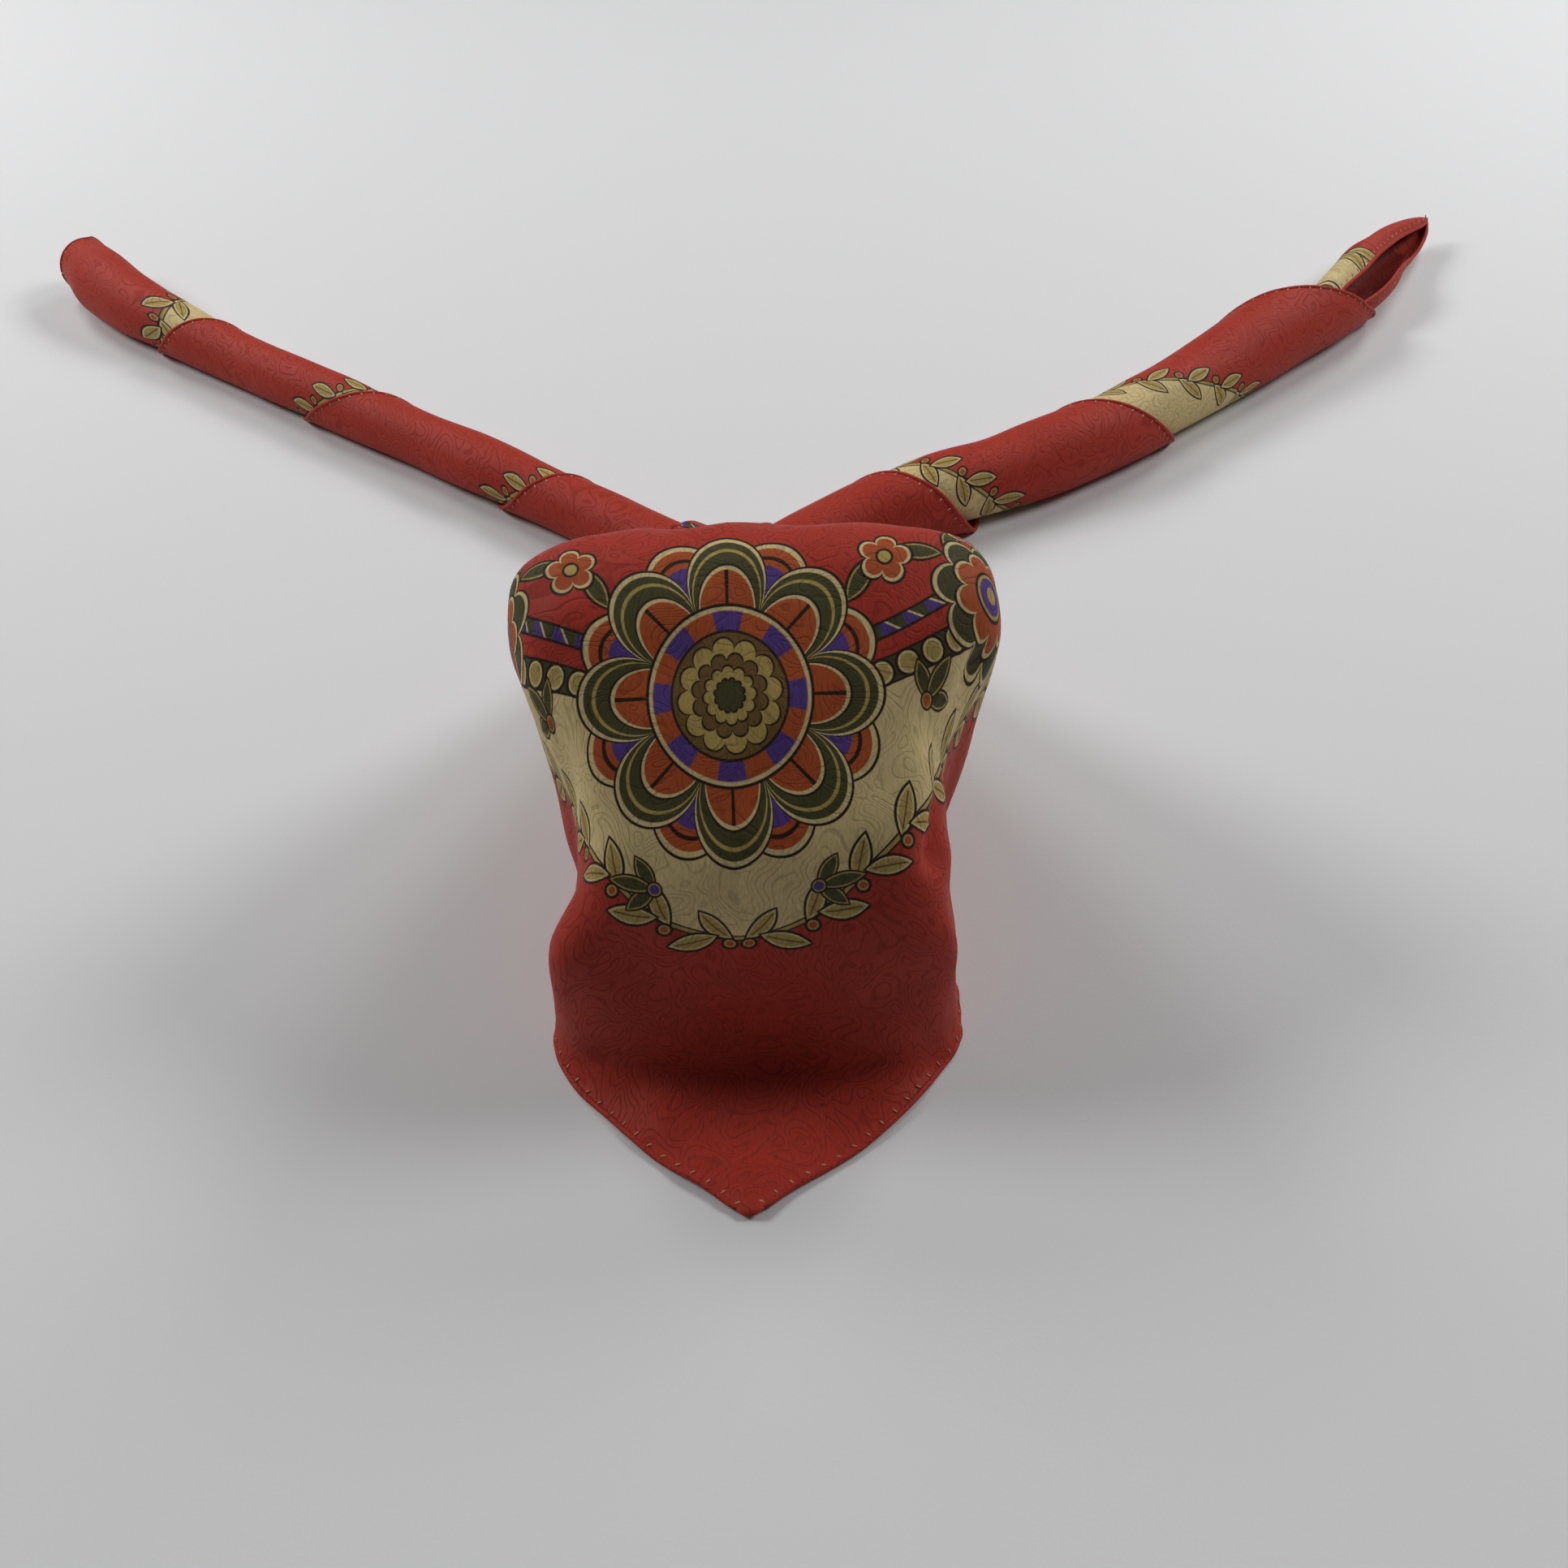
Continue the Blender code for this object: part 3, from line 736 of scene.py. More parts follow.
class Field:
    """A number that varies over the cloth, held as the output of a shader node."""

    def __init__(self, tree: bpy.types.NodeTree, socket: bpy.types.NodeSocket) -> None:
        """Holds the socket and its tree."""
        self.tree = tree
        self.socket = socket

    def join(self, kind: str, *others: Number) -> Field:
        """A new math node with this field as its first input.

        Args:
            kind: What the node works out.
            others: Its further inputs.

        Returns:
            The node's result.
        """
        node = self.tree.nodes.new("ShaderNodeMath")
        node.operation = kind
        for slot, value in zip(node.inputs, (self, *others)):
            if isinstance(value, Field):
                self.tree.links.new(value.socket, slot)
            else:
                slot.default_value = float(value)
        return Field(self.tree, node.outputs[0])

    def __add__(self, other: Number) -> Field:
        """The sum."""
        return self.join("ADD", other)

    def __sub__(self, other: Number) -> Field:
        """The difference."""
        return self.join("SUBTRACT", other)

    def __mul__(self, other: Number) -> Field:
        """The product."""
        return self.join("MULTIPLY", other)

    def __neg__(self) -> Field:
        """The opposite."""
        return self.join("MULTIPLY", -1.0)

    def __abs__(self) -> Field:
        """The size without its sign."""
        return self.join("ABSOLUTE")

    def power(self, degree: float) -> Field:
        """Raised to a power."""
        return self.join("POWER", degree)

    def cosine(self) -> Field:
        """The cosine of an angle in radians."""
        return self.join("COSINE")

    def least(self, other: Number) -> Field:
        """The smaller of two."""
        return self.join("MINIMUM", other)

    def most(self, other: Number) -> Field:
        """The larger of two."""
        return self.join("MAXIMUM", other)

    def wrapped(self, period: float) -> Field:
        """What is left over after whole periods."""
        return self.join("FLOORED_MODULO", period)

    def reach(self, other: Field) -> Field:
        """The length of the hypotenuse on two sides."""
        return (self * self + other * other).join("SQRT")

    def angle(self, other: Field) -> Field:
        """The angle of a point, from its second coordinate to this one."""
        return self.join("ARCTAN2", other)

    def mask(self, soft: float = 0.012) -> Field:
        """1 where the field is above 0, and 0 where it is below, with a soft edge.

        Args:
            soft: Half of the edge's width.

        Returns:
            The mask.
        """
        node = self.tree.nodes.new("ShaderNodeMapRange")
        node.inputs["From Min"].default_value = -soft
        node.inputs["From Max"].default_value = soft
        self.tree.links.new(self.socket, node.inputs["Value"])
        return Field(self.tree, node.outputs["Result"])


@dataclass
class Point:
    """A place on the flat cloth, in centimetres, as two fields."""

    x: Field
    y: Field

    def moved(self, x: float, y: float) -> Point:
        """Measured from another origin."""
        return Point(self.x - x, self.y - y)

    def turned(self, degrees: float) -> Point:
        """Measured along turned axes."""
        cos, sin = math.cos(math.radians(degrees)), math.sin(math.radians(degrees))
        return Point(self.x * cos + self.y * sin, self.y * cos - self.x * sin)

    def leaf(self, half_length: float, half_width: float) -> Field:
        """How far inside a pointed leaf the place is."""
        share = self.x * (1.0 / half_length)
        return (share * share) * -half_width + half_width - abs(self.y)

    def disc(self, radius: float) -> Field:
        """How far inside a disc the place is."""
        return -self.x.reach(self.y) + radius


class Dyer:
    """Lays dyes on the cloth one over another."""

    mix_inputs: tuple[int, int, int] = (0, 6, 7)
    mix_output: int = 2

    def __init__(self, tree: bpy.types.NodeTree, ground: Dye) -> None:
        """Starts with the ground colour.

        Args:
            tree: The material's nodes.
            ground: The dye under all the others.
        """
        self.tree = tree
        node = tree.nodes.new("ShaderNodeRGB")
        node.outputs[0].default_value = ground.rgba
        self.colour = node.outputs[0]

    def lay(self, mask: Field, dye: Dye) -> None:
        """Covers the cloth with a dye where a mask is 1.

        Args:
            mask: How much of the dye each place takes.
            dye: The dye.
        """
        node = self.tree.nodes.new("ShaderNodeMix")
        node.data_type = "RGBA"
        share, under, over = (node.inputs[slot] for slot in self.mix_inputs)
        self.tree.links.new(mask.socket, share)
        self.tree.links.new(self.colour, under)
        over.default_value = dye.rgba
        self.colour = node.outputs[self.mix_output]

    def edged(
        self,
        shape: Field,
        dye: Dye,
        rim: Dye = Dye.CREAM,
        line: float = 0.07,
        rim_width: float = 0.09,
    ) -> None:
        """Draws a shape with a dark outline and a pale rim.

        Args:
            shape: How far inside the shape each place is.
            dye: The shape's own colour.
            rim: The colour of its rim.
            line: The outline's width.
            rim_width: The rim's width.
        """
        self.lay((shape + line).mask(), Dye.DARK)
        self.lay(shape.mask(), rim)
        self.lay((shape - rim_width).mask(), dye)


@dataclass(frozen=True)
class FloralPrint:
    """The print's layout on the flat square, in centimetres from the draped corner."""

    border: float = 4.6
    corner: float = 3.4
    leaf_spacing: float = 1.50
    roundel_place: float = 23.4
    roundel_radius: float = 10.3
    bead_count: int = 100
    flower_count: int = 20
    flower_ring: float = 8.0
    rosette_place: float = 13.3
    petal_count: int = 8
    least_depth: float = 0.0001
    leaf_size: tuple[float, float] = (0.56, 0.21)
    leaf_tilt: float = 34.0
    vein: float = 0.022
    berry_radius: float = 0.13
    bead_radius: float = 0.24
    cord_inset: float = 0.85
    cord_width: float = 0.13
    spray_ring: float = 4.4
    spray_count: int = 6

    def paint(self, tree: bpy.types.NodeTree, across: Field, along: Field) -> Dyer:
        """Lays out the whole print.

        Args:
            tree: The material's nodes.
            across: Centimetres to the right of the cloth's diagonal.
            along: Centimetres along the diagonal from the draped corner.

        Returns:
            The dyer, whose colour is the print's.
        """
        dyer = Dyer(tree, Dye.RED)
        place = Point(across, along)
        run, depth = self.border_lines(place)
        dyer.lay(depth.mask(), Dye.CREAM)
        self.roundel(dyer, place.moved(0.0, self.roundel_place))
        self.garland(dyer, run, depth)
        mirrored = Point(abs(across), along)
        self.sprig(dyer, mirrored.moved(4.6, 13.2).turned(62.0), Dye.RUST)
        self.sprig(dyer, mirrored.moved(1.9, 9.2).turned(12.0), Dye.VIOLET)
        self.small_rosette(dyer, mirrored.moved(6.3, 15.7))
        self.rosette(dyer, place.moved(0.0, self.rosette_place))
        return dyer

    def border_lines(self, place: Point) -> tuple[Field, Field]:
        """The border's line, which follows the hems and rounds the corner.

        Args:
            place: Where on the cloth.

        Returns:
            The distance along the line, and the distance from it towards the field.
        """
        left = (place.y + place.x) * DIAGONAL - self.border
        right = (place.y - place.x) * DIAGONAL - self.border
        in_left = -left + self.corner
        in_right = -right + self.corner
        round_x, round_y = in_left.most(self.least_depth), in_right.most(self.least_depth)
        beyond = (left.least(right) - self.corner).most(0.0)
        depth = beyond - round_x.reach(round_y) + self.corner
        run = round_x.angle(round_y) * self.corner - 0.25 * math.pi * self.corner
        run = run + (-in_right).most(0.0) - (-in_left).most(0.0)
        return run, depth

    def garland(self, dyer: Dyer, run: Field, depth: Field) -> None:
        """A garland of leaves and berries along the border.

        Args:
            dyer: What it is laid with.
            run: The distance along the border.
            depth: The distance from it.
        """
        step = self.leaf_spacing
        cell = Point(abs(run).wrapped(step) - 0.5 * step, depth)
        dyer.lay((-abs(depth) + 0.09).mask(), Dye.DARK)
        dyer.lay((-abs(depth) + 0.045).mask(), Dye.GOLD)
        upper = cell.moved(-0.12, 0.30).turned(self.leaf_tilt)
        lower = cell.moved(0.24, -0.30).turned(-self.leaf_tilt)
        for leaf in (upper, lower):
            dyer.edged(leaf.leaf(*self.leaf_size), Dye.GOLD, rim_width=0.045)
            within = leaf.leaf(0.75 * self.leaf_size[0], self.leaf_size[1] - 0.01)
            dyer.lay((-abs(leaf.y) + self.vein).least(within).mask(0.008), Dye.BROWN)
        berry = cell.moved(-0.54, -0.20)
        dyer.edged(berry.disc(self.berry_radius), Dye.RUST, rim=Dye.GOLD, rim_width=0.04)

    def roundel(self, dyer: Dyer, place: Point) -> None:
        """The red roundel, with a beaded edge and a ring of flowers.

        Args:
            dyer: What it is laid with.
            place: Measured from the roundel's middle.
        """
        radius = place.x.reach(place.y)
        angle = place.x.angle(place.y)
        off = radius - self.roundel_radius
        dyer.lay((-off).mask(), Dye.RED)
        dyer.lay((-abs(off) + self.bead_radius + 0.06).mask(), Dye.DARK)
        dyer.lay((-abs(off) + self.bead_radius + 0.01).mask(), Dye.OLIVE)
        turn = self.spaced(angle, self.bead_count, self.roundel_radius)
        dyer.edged(Point(turn, off).disc(self.bead_radius), Dye.GOLD, rim_width=0.05)
        cord = -abs(off + self.cord_inset)
        inside = cord + self.cord_width
        twist = turn + off + self.cord_inset
        dyer.lay((inside + 0.06).mask(), Dye.DARK)
        dyer.lay(inside.mask(), Dye.OLIVE)
        dyer.lay(inside.least(twist).mask(), Dye.VIOLET)
        dyer.lay(inside.least(-abs(twist) + 0.035).mask(), Dye.CREAM)
        turn = self.spaced(angle, self.flower_count, self.flower_ring)
        flower = Point(turn, radius - self.flower_ring)
        for side in (1.0, -1.0):
            stem = flower.moved(0.0, -0.35).turned(38.0 * side).moved(0.95 * side, 0.0)
            dyer.edged(stem.leaf(0.55, 0.20), Dye.OLIVE, rim=Dye.GOLD, rim_width=0.04)
        self.blossom(dyer, flower, 0.62, 5, Dye.RUST)
        turn = self.spaced(angle, self.spray_count, self.spray_ring)
        self.sprig(dyer, Point(radius - self.spray_ring, turn), Dye.VIOLET)
        self.small_rosette(dyer, place)

    def spaced(self, angle: Field, count: int, radius: float) -> Field:
        """The distance along a ring from the nearest of a number of evenly spaced motifs."""
        sector = 2.0 * math.pi / count
        return (angle.wrapped(sector) - 0.5 * sector) * radius

    def petals(self, turn: Field, radius: Field, size: float, depth: float, round_: float) -> Field:
        """How far inside a ring of round petals each place is.

        Args:
            turn: The angle, times half the number of petals.
            radius: The distance from the flower's middle.
            size: The radius between two petals.
            depth: How far each petal reaches beyond it.
            round_: How round the petals are, from 0 to 1.

        Returns:
            The distance inside, in centimetres.
        """
        return abs(turn.cosine()).power(round_) * depth - radius + size

    def blossom(self, dyer: Dyer, place: Point, size: float, count: int, dye: Dye) -> None:
        """A small open flower.

        Args:
            dyer: What it is laid with.
            place: Measured from the flower's middle.
            size: Its radius.
            count: How many petals it has.
            dye: Their colour.
        """
        radius = place.x.reach(place.y)
        turn = place.x.angle(place.y) * (0.5 * count)
        edge = self.petals(turn, radius, 0.62 * size, 0.38 * size, 0.6)
        dyer.edged(edge, dye, rim_width=0.12 * size)
        dyer.lay((-radius + 0.34 * size).mask(), Dye.DARK)
        dyer.lay((-radius + 0.24 * size).mask(), Dye.GOLD)

    def sprig(self, dyer: Dyer, place: Point, dye: Dye) -> None:
        """A three-leaved sprig with a berry.

        Args:
            dyer: What it is laid with.
            place: Measured from the sprig's middle.
            dye: The berry's colour.
        """
        for tilt, length in ((48.0, 0.42), (-48.0, 0.42), (0.0, 0.55)):
            leaf = place.turned(tilt).moved(length, 0.0)
            dyer.edged(leaf.leaf(length, 0.17), Dye.OLIVE, rim=Dye.GOLD, line=0.05, rim_width=0.035)
        dyer.edged(place.disc(0.15), dye, rim=Dye.GOLD, line=0.05, rim_width=0.03)

    def small_rosette(self, dyer: Dyer, place: Point) -> None:
        """A rosette the size of a coin.

        Args:
            dyer: Where the dyes go.
            place: The place, measured from its middle.
        """
        radius = place.x.reach(place.y)
        turn = place.x.angle(place.y)
        outer = self.petals(turn * 4.0, radius, 1.15, 0.42, 0.6)
        dyer.edged(outer, Dye.OLIVE, rim_width=0.10)
        middle = self.petals(turn * 4.0 + 0.5 * math.pi, radius, 0.78, 0.30, 0.6)
        dyer.edged(middle, Dye.RUST, rim_width=0.08)
        dyer.edged(-radius + 0.46, Dye.VIOLET, rim=Dye.GOLD, rim_width=0.07)
        dyer.lay((-radius + 0.18).mask(), Dye.GOLD)

    def rosette(self, dyer: Dyer, place: Point) -> None:
        """The large rosette: two rows of petals, a ring in two colours and a golden flower.

        Args:
            dyer: What it is laid with.
            place: Measured from the rosette's middle.
        """
        radius = place.x.reach(place.y)
        angle = place.x.angle(place.y)
        turn = angle * (0.5 * self.petal_count)
        under = self.petals(turn + 0.5 * math.pi, radius, 1.95, 1.60, 0.55)
        dyer.edged(under, Dye.RUST, rim_width=0.13)
        dyer.lay((-abs(under - 0.42) + 0.05).mask(), Dye.DARK)
        dyer.lay((under - 0.62).mask(), Dye.VIOLET)
        over = self.petals(turn, radius, 2.05, 1.45, 0.55)
        dyer.edged(over, Dye.OLIVE, rim_width=0.11)
        dyer.lay((-abs(over - 0.36) + 0.045).mask(), Dye.GOLD)
        for inset, dye in ((0.70, Dye.DARK), (0.76, Dye.CREAM), (0.85, Dye.RUST)):
            dyer.lay((over - inset).mask(), dye)
        vein = (abs(turn.cosine()) - 0.9975).least(radius - 1.9).least(over - 0.85)
        dyer.lay(vein.mask(0.001), Dye.DARK)
        quarters = turn.cosine() * turn.cosine() - 0.5
        for size, dye in ((1.92, Dye.DARK), (1.85, Dye.CREAM), (1.76, Dye.RUST)):
            dyer.lay((-radius + size).mask(), dye)
        dyer.lay((-radius + 1.76).least(quarters).mask(0.03), Dye.VIOLET)
        for size, dye in ((1.36, Dye.DARK), (1.30, Dye.BROWN)):
            dyer.lay((-radius + size).mask(), dye)
        rings = ((1.0, Dye.GOLD), (0.72, Dye.BROWN), (0.50, Dye.GOLD), (0.28, Dye.OLIVE))
        for share, dye in rings:
            edge = self.petals(angle * 6.0 + share * 7.0, radius, 0.92 * share, 0.26 * share, 0.5)
            dyer.lay((edge + 0.05).mask(), Dye.DARK)
            dyer.lay(edge.mask(), dye)


@dataclass(frozen=True)
class SilkFinish:
    """Silk jacquard: a satin gloss, figures woven tone on tone, and a fine thread."""

    name: str
    roughness: float = 0.60
    sheen: float = 0.02
    specular: float = 0.15
    sheen_roughness: float = 0.35
    figure_size: float = 62.0
    figure_rings: float = 11.0
    figure_line: float = 0.12
    figure_tone: float = -0.19
    figure_gloss: float = 0.12
    thread_size: float = 1700.0
    thread_stretch: float = 0.35
    thread_tone: float = 0.62
    thread_gloss: float = 0.08
    least_tone: float = 0.70
    relief_strength: float = 0.55
    relief_depth: float = 0.00014
    printed: bool = True
    ground: Dye = Dye.RED

    def material(self) -> bpy.types.Material:
        """Builds the finish.

        Returns:
            The material.
        """
        material, tree, shader = new_finish(self.name)
        vector = self.coordinates(tree)
        figure = self.figures(tree, vector)
        thread = self.threads(tree, vector)
        if self.printed:
            parts = tree.nodes.new("ShaderNodeSeparateXYZ")
            tree.links.new(vector, parts.inputs[0])
            across, along = (Field(tree, parts.outputs[axis]) * 100.0 for axis in ("X", "Y"))
            colour = FloralPrint().paint(tree, across, along).colour
        else:
            colour = Dyer(tree, self.ground).colour
        tone = figure * self.figure_tone + thread * self.thread_tone + self.least_tone
        dye_shader(tree, shader, colour, tone)
        gloss = figure * self.figure_gloss + thread * self.thread_gloss + (self.roughness - 0.06)
        tree.links.new(gloss.socket, shader.inputs["Roughness"])
        relief(tree, shader, thread - figure, self.relief_strength, self.relief_depth)
        shader.inputs["Specular IOR Level"].default_value = self.specular
        shader.inputs["Sheen Weight"].default_value = self.sheen
        shader.inputs["Sheen Roughness"].default_value = self.sheen_roughness
        return material

    def coordinates(self, tree: bpy.types.NodeTree) -> bpy.types.NodeSocket:
        """Where each place lies: on the flat cloth if printed, and on the object if not.

        Args:
            tree: The material's nodes.

        Returns:
            The coordinates.
        """
        if not self.printed:
            return on_object(tree)
        node = tree.nodes.new("ShaderNodeUVMap")
        node.uv_map = PRINT_MAP
        return node.outputs["UV"]

    def figures(self, tree: bpy.types.NodeTree, vector: bpy.types.NodeSocket) -> Field:
        """Scrolls woven tone on tone, as the curling outlines of a soft noise.

        Args:
            tree: The material's nodes.
            vector: The coordinates.

        Returns:
            How strong the woven figure is.
        """
        clouds = noise(tree, vector, self.figure_size, detail=0.6, roughness=0.4, distortion=1.9)
        rings = (clouds * self.figure_rings).wrapped(1.0) - 0.5
        return (-abs(rings) + self.figure_line).mask(0.05)

    def threads(self, tree: bpy.types.NodeTree, vector: bpy.types.NodeSocket) -> Field:
        """Fine uneven threads, longer along the cloth's warp than across it.

        Args:
            tree: The material's nodes.
            vector: The coordinates.

        Returns:
            How high the thread stands.
        """
        turn = tree.nodes.new("ShaderNodeMapping")
        turn.inputs["Rotation"].default_value = (0.0, 0.0, math.radians(45.0))
        turn.inputs["Scale"].default_value = (1.0, self.thread_stretch, 1.0)
        tree.links.new(vector, turn.inputs["Vector"])
        return noise(tree, turn.outputs["Vector"], self.thread_size, detail=3.0)


@dataclass(frozen=True)
class ThreadFinish:
    """The hem's sewing thread: matt and a little paler than the cloth."""

    name: str = "hem_thread"
    lint_size: float = 900.0
    roughness: float = 0.6

    def material(self) -> bpy.types.Material:
        """Builds the finish.

        Returns:
            The material.
        """
        material, tree, shader = new_finish(self.name)
        lint = noise(tree, on_object(tree), self.lint_size)
        dye_shader(tree, shader, Dyer(tree, Dye.THREAD).colour, lint * 0.6 + 0.6)
        shader.inputs["Roughness"].default_value = self.roughness
        return material


@dataclass
class Finishes:
    """The finishes that the pieces share."""

    printed: bpy.types.Material
    hem: bpy.types.Material
    # Plain red darkened as painted shade, for the cloth inside the curl and the tails.
    inner: bpy.types.Material
    thread: bpy.types.Material

    @classmethod
    def make(cls) -> Finishes:
        """Builds them all.

        Returns:
            The finishes.
        """
        return cls(
            printed=SilkFinish("silk_printed").material(),
            hem=SilkFinish("silk_hem", printed=False, figure_size=90.0).material(),
            # The inner finish's ground is the red darkened to about half as painted shade.
            inner=SilkFinish(
                "silk_inner_painted_shade", printed=False, ground=Dye.PAINTED_SHADE_RED, roughness=0.55
            ).material(),
            thread=ThreadFinish().material(),
        )


# The cloth's pieces


@dataclass
class HemStitches:
    """Short stitches that hold a rolled hem down."""

    spacing: float = 0.0044
    length: float = 0.0018
    width: float = 0.00030
    slant: float = 0.45
    unevenness: float = 7.3

    def build(
        self,
        name: str,
        line: np.ndarray,
        inward: np.ndarray,
        outward: np.ndarray,
        finish: bpy.types.Material,
    ) -> bpy.types.Object:
        """Sews one row of stitches.

        Args:
            name: The new piece's name.
            line: The row's points.
            inward: The direction away from the hem at each.
            outward: The cloth's outer side at each.
            finish: The thread.

        Returns:
            The new piece.
        """
        runs = run_lengths(line)
        builder = bmesh.new()
        count = max(int(runs[-1] / self.spacing), 1)
        for k in range(count):
            at = (k + 0.5) * self.spacing
            centre = np.array([np.interp(at, runs, line[:, axis]) for axis in range(3)])
            index = int(np.interp(at, runs, np.arange(len(line))))
            ahead = line[min(index + 1, len(line) - 1)] - line[max(index - 1, 0)]
            ahead = Vector(ahead).normalized()
            out = Vector(outward[index]).normalized()
            slant = self.slant * (1.0 + 0.5 * math.sin(self.unevenness * k))
            lean = (Vector(inward[index]).normalized() + ahead * slant).normalized()
            cross = out.cross(lean).normalized()
            turn = Matrix((lean, cross, out)).transposed().to_4x4()
            size = Matrix.Diagonal((0.5 * self.length, self.width, self.width, 1.0))
            place = Matrix.Translation(Vector(centre)) @ turn @ size
            bmesh.ops.create_icosphere(builder, subdivisions=1, radius=1.0, matrix=place)
        bmesh.ops.recalc_face_normals(builder, faces=builder.faces)
        return new_piece(name, builder, finish)


@dataclass
class ClothPart:
    """What every part of the neckerchief shares."""

    axis: RollAxis
    finishes: Finishes
    thickness: float = 0.0004
    hem_radius: float = 0.0008
    stitch_inset: float = 0.0022
    stitch_lift: float = 0.00006

    def settle(
        self, piece: bpy.types.Object, slot: str, nodes: Sequence[str] = ()
    ) -> bpy.types.Object:
        """Puts a piece on the frame.

        Args:
            piece: The piece.
            slot: Not used.
            nodes: The solids that it stands for.

        Returns:
            The piece.
        """
        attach(piece, BODY)
        if nodes:
            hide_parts(*nodes)
        log.info("%s: %d faces", piece.name, len(piece.data.polygons))
        return piece

    def hem(
        self, name: str, line: np.ndarray, inside: np.ndarray, outward: np.ndarray
    ) -> list[bpy.types.Object]:
        """Rolls and sews one hem.

        Args:
            name: The name that the new pieces' names begin with.
            line: The cloth's edge.
            inside: A line of points a little way into the cloth.
            outward: The cloth's outer side at each point of the edge.

        Returns:
            The new pieces.
        """
        inward = unit(inside - line)
        middle = line + inward * (0.5 * self.hem_radius) - outward * (0.35 * self.hem_radius)
        middle[:, 2] = np.maximum(middle[:, 2], self.hem_radius)
        rolled = bead(f"{name}_hem", middle, self.hem_radius, self.finishes.hem)
        row = line + inward * self.stitch_inset + outward * self.stitch_lift
        sewn = HemStitches().build(f"{name}_stitches", row, inward, outward, self.finishes.thread)
        return [self.settle(piece, "silk_print") for piece in (rolled, sewn)]

    def sheet(
        self,
        cloth: bpy.types.Object,
        cut: np.ndarray,
        held: str,
        rests_on: str,
        made: Sequence[bpy.types.Object] = (),
    ) -> None:
        """Works out the size and area of a sheet's flat cut.

        Args:
            cloth: Not used.
            cut: Where its points lie on the flat cloth.
            held: Not used.
            rests_on: Not used.
            made: Not used.
        """
        size, area = cut_size(cut)

    def rolled_sheet(
        self,
        cloth: bpy.types.Object,
        points: np.ndarray,
        column: int,
        rests_on: str,
        made: Sequence[bpy.types.Object] = (),
    ) -> None:
        """Takes a rolled sheet and does nothing with it.

        Args:
            cloth: Not used.
            points: Not used.
            column: Not used.
            rests_on: Not used.
            made: Not used.
        """


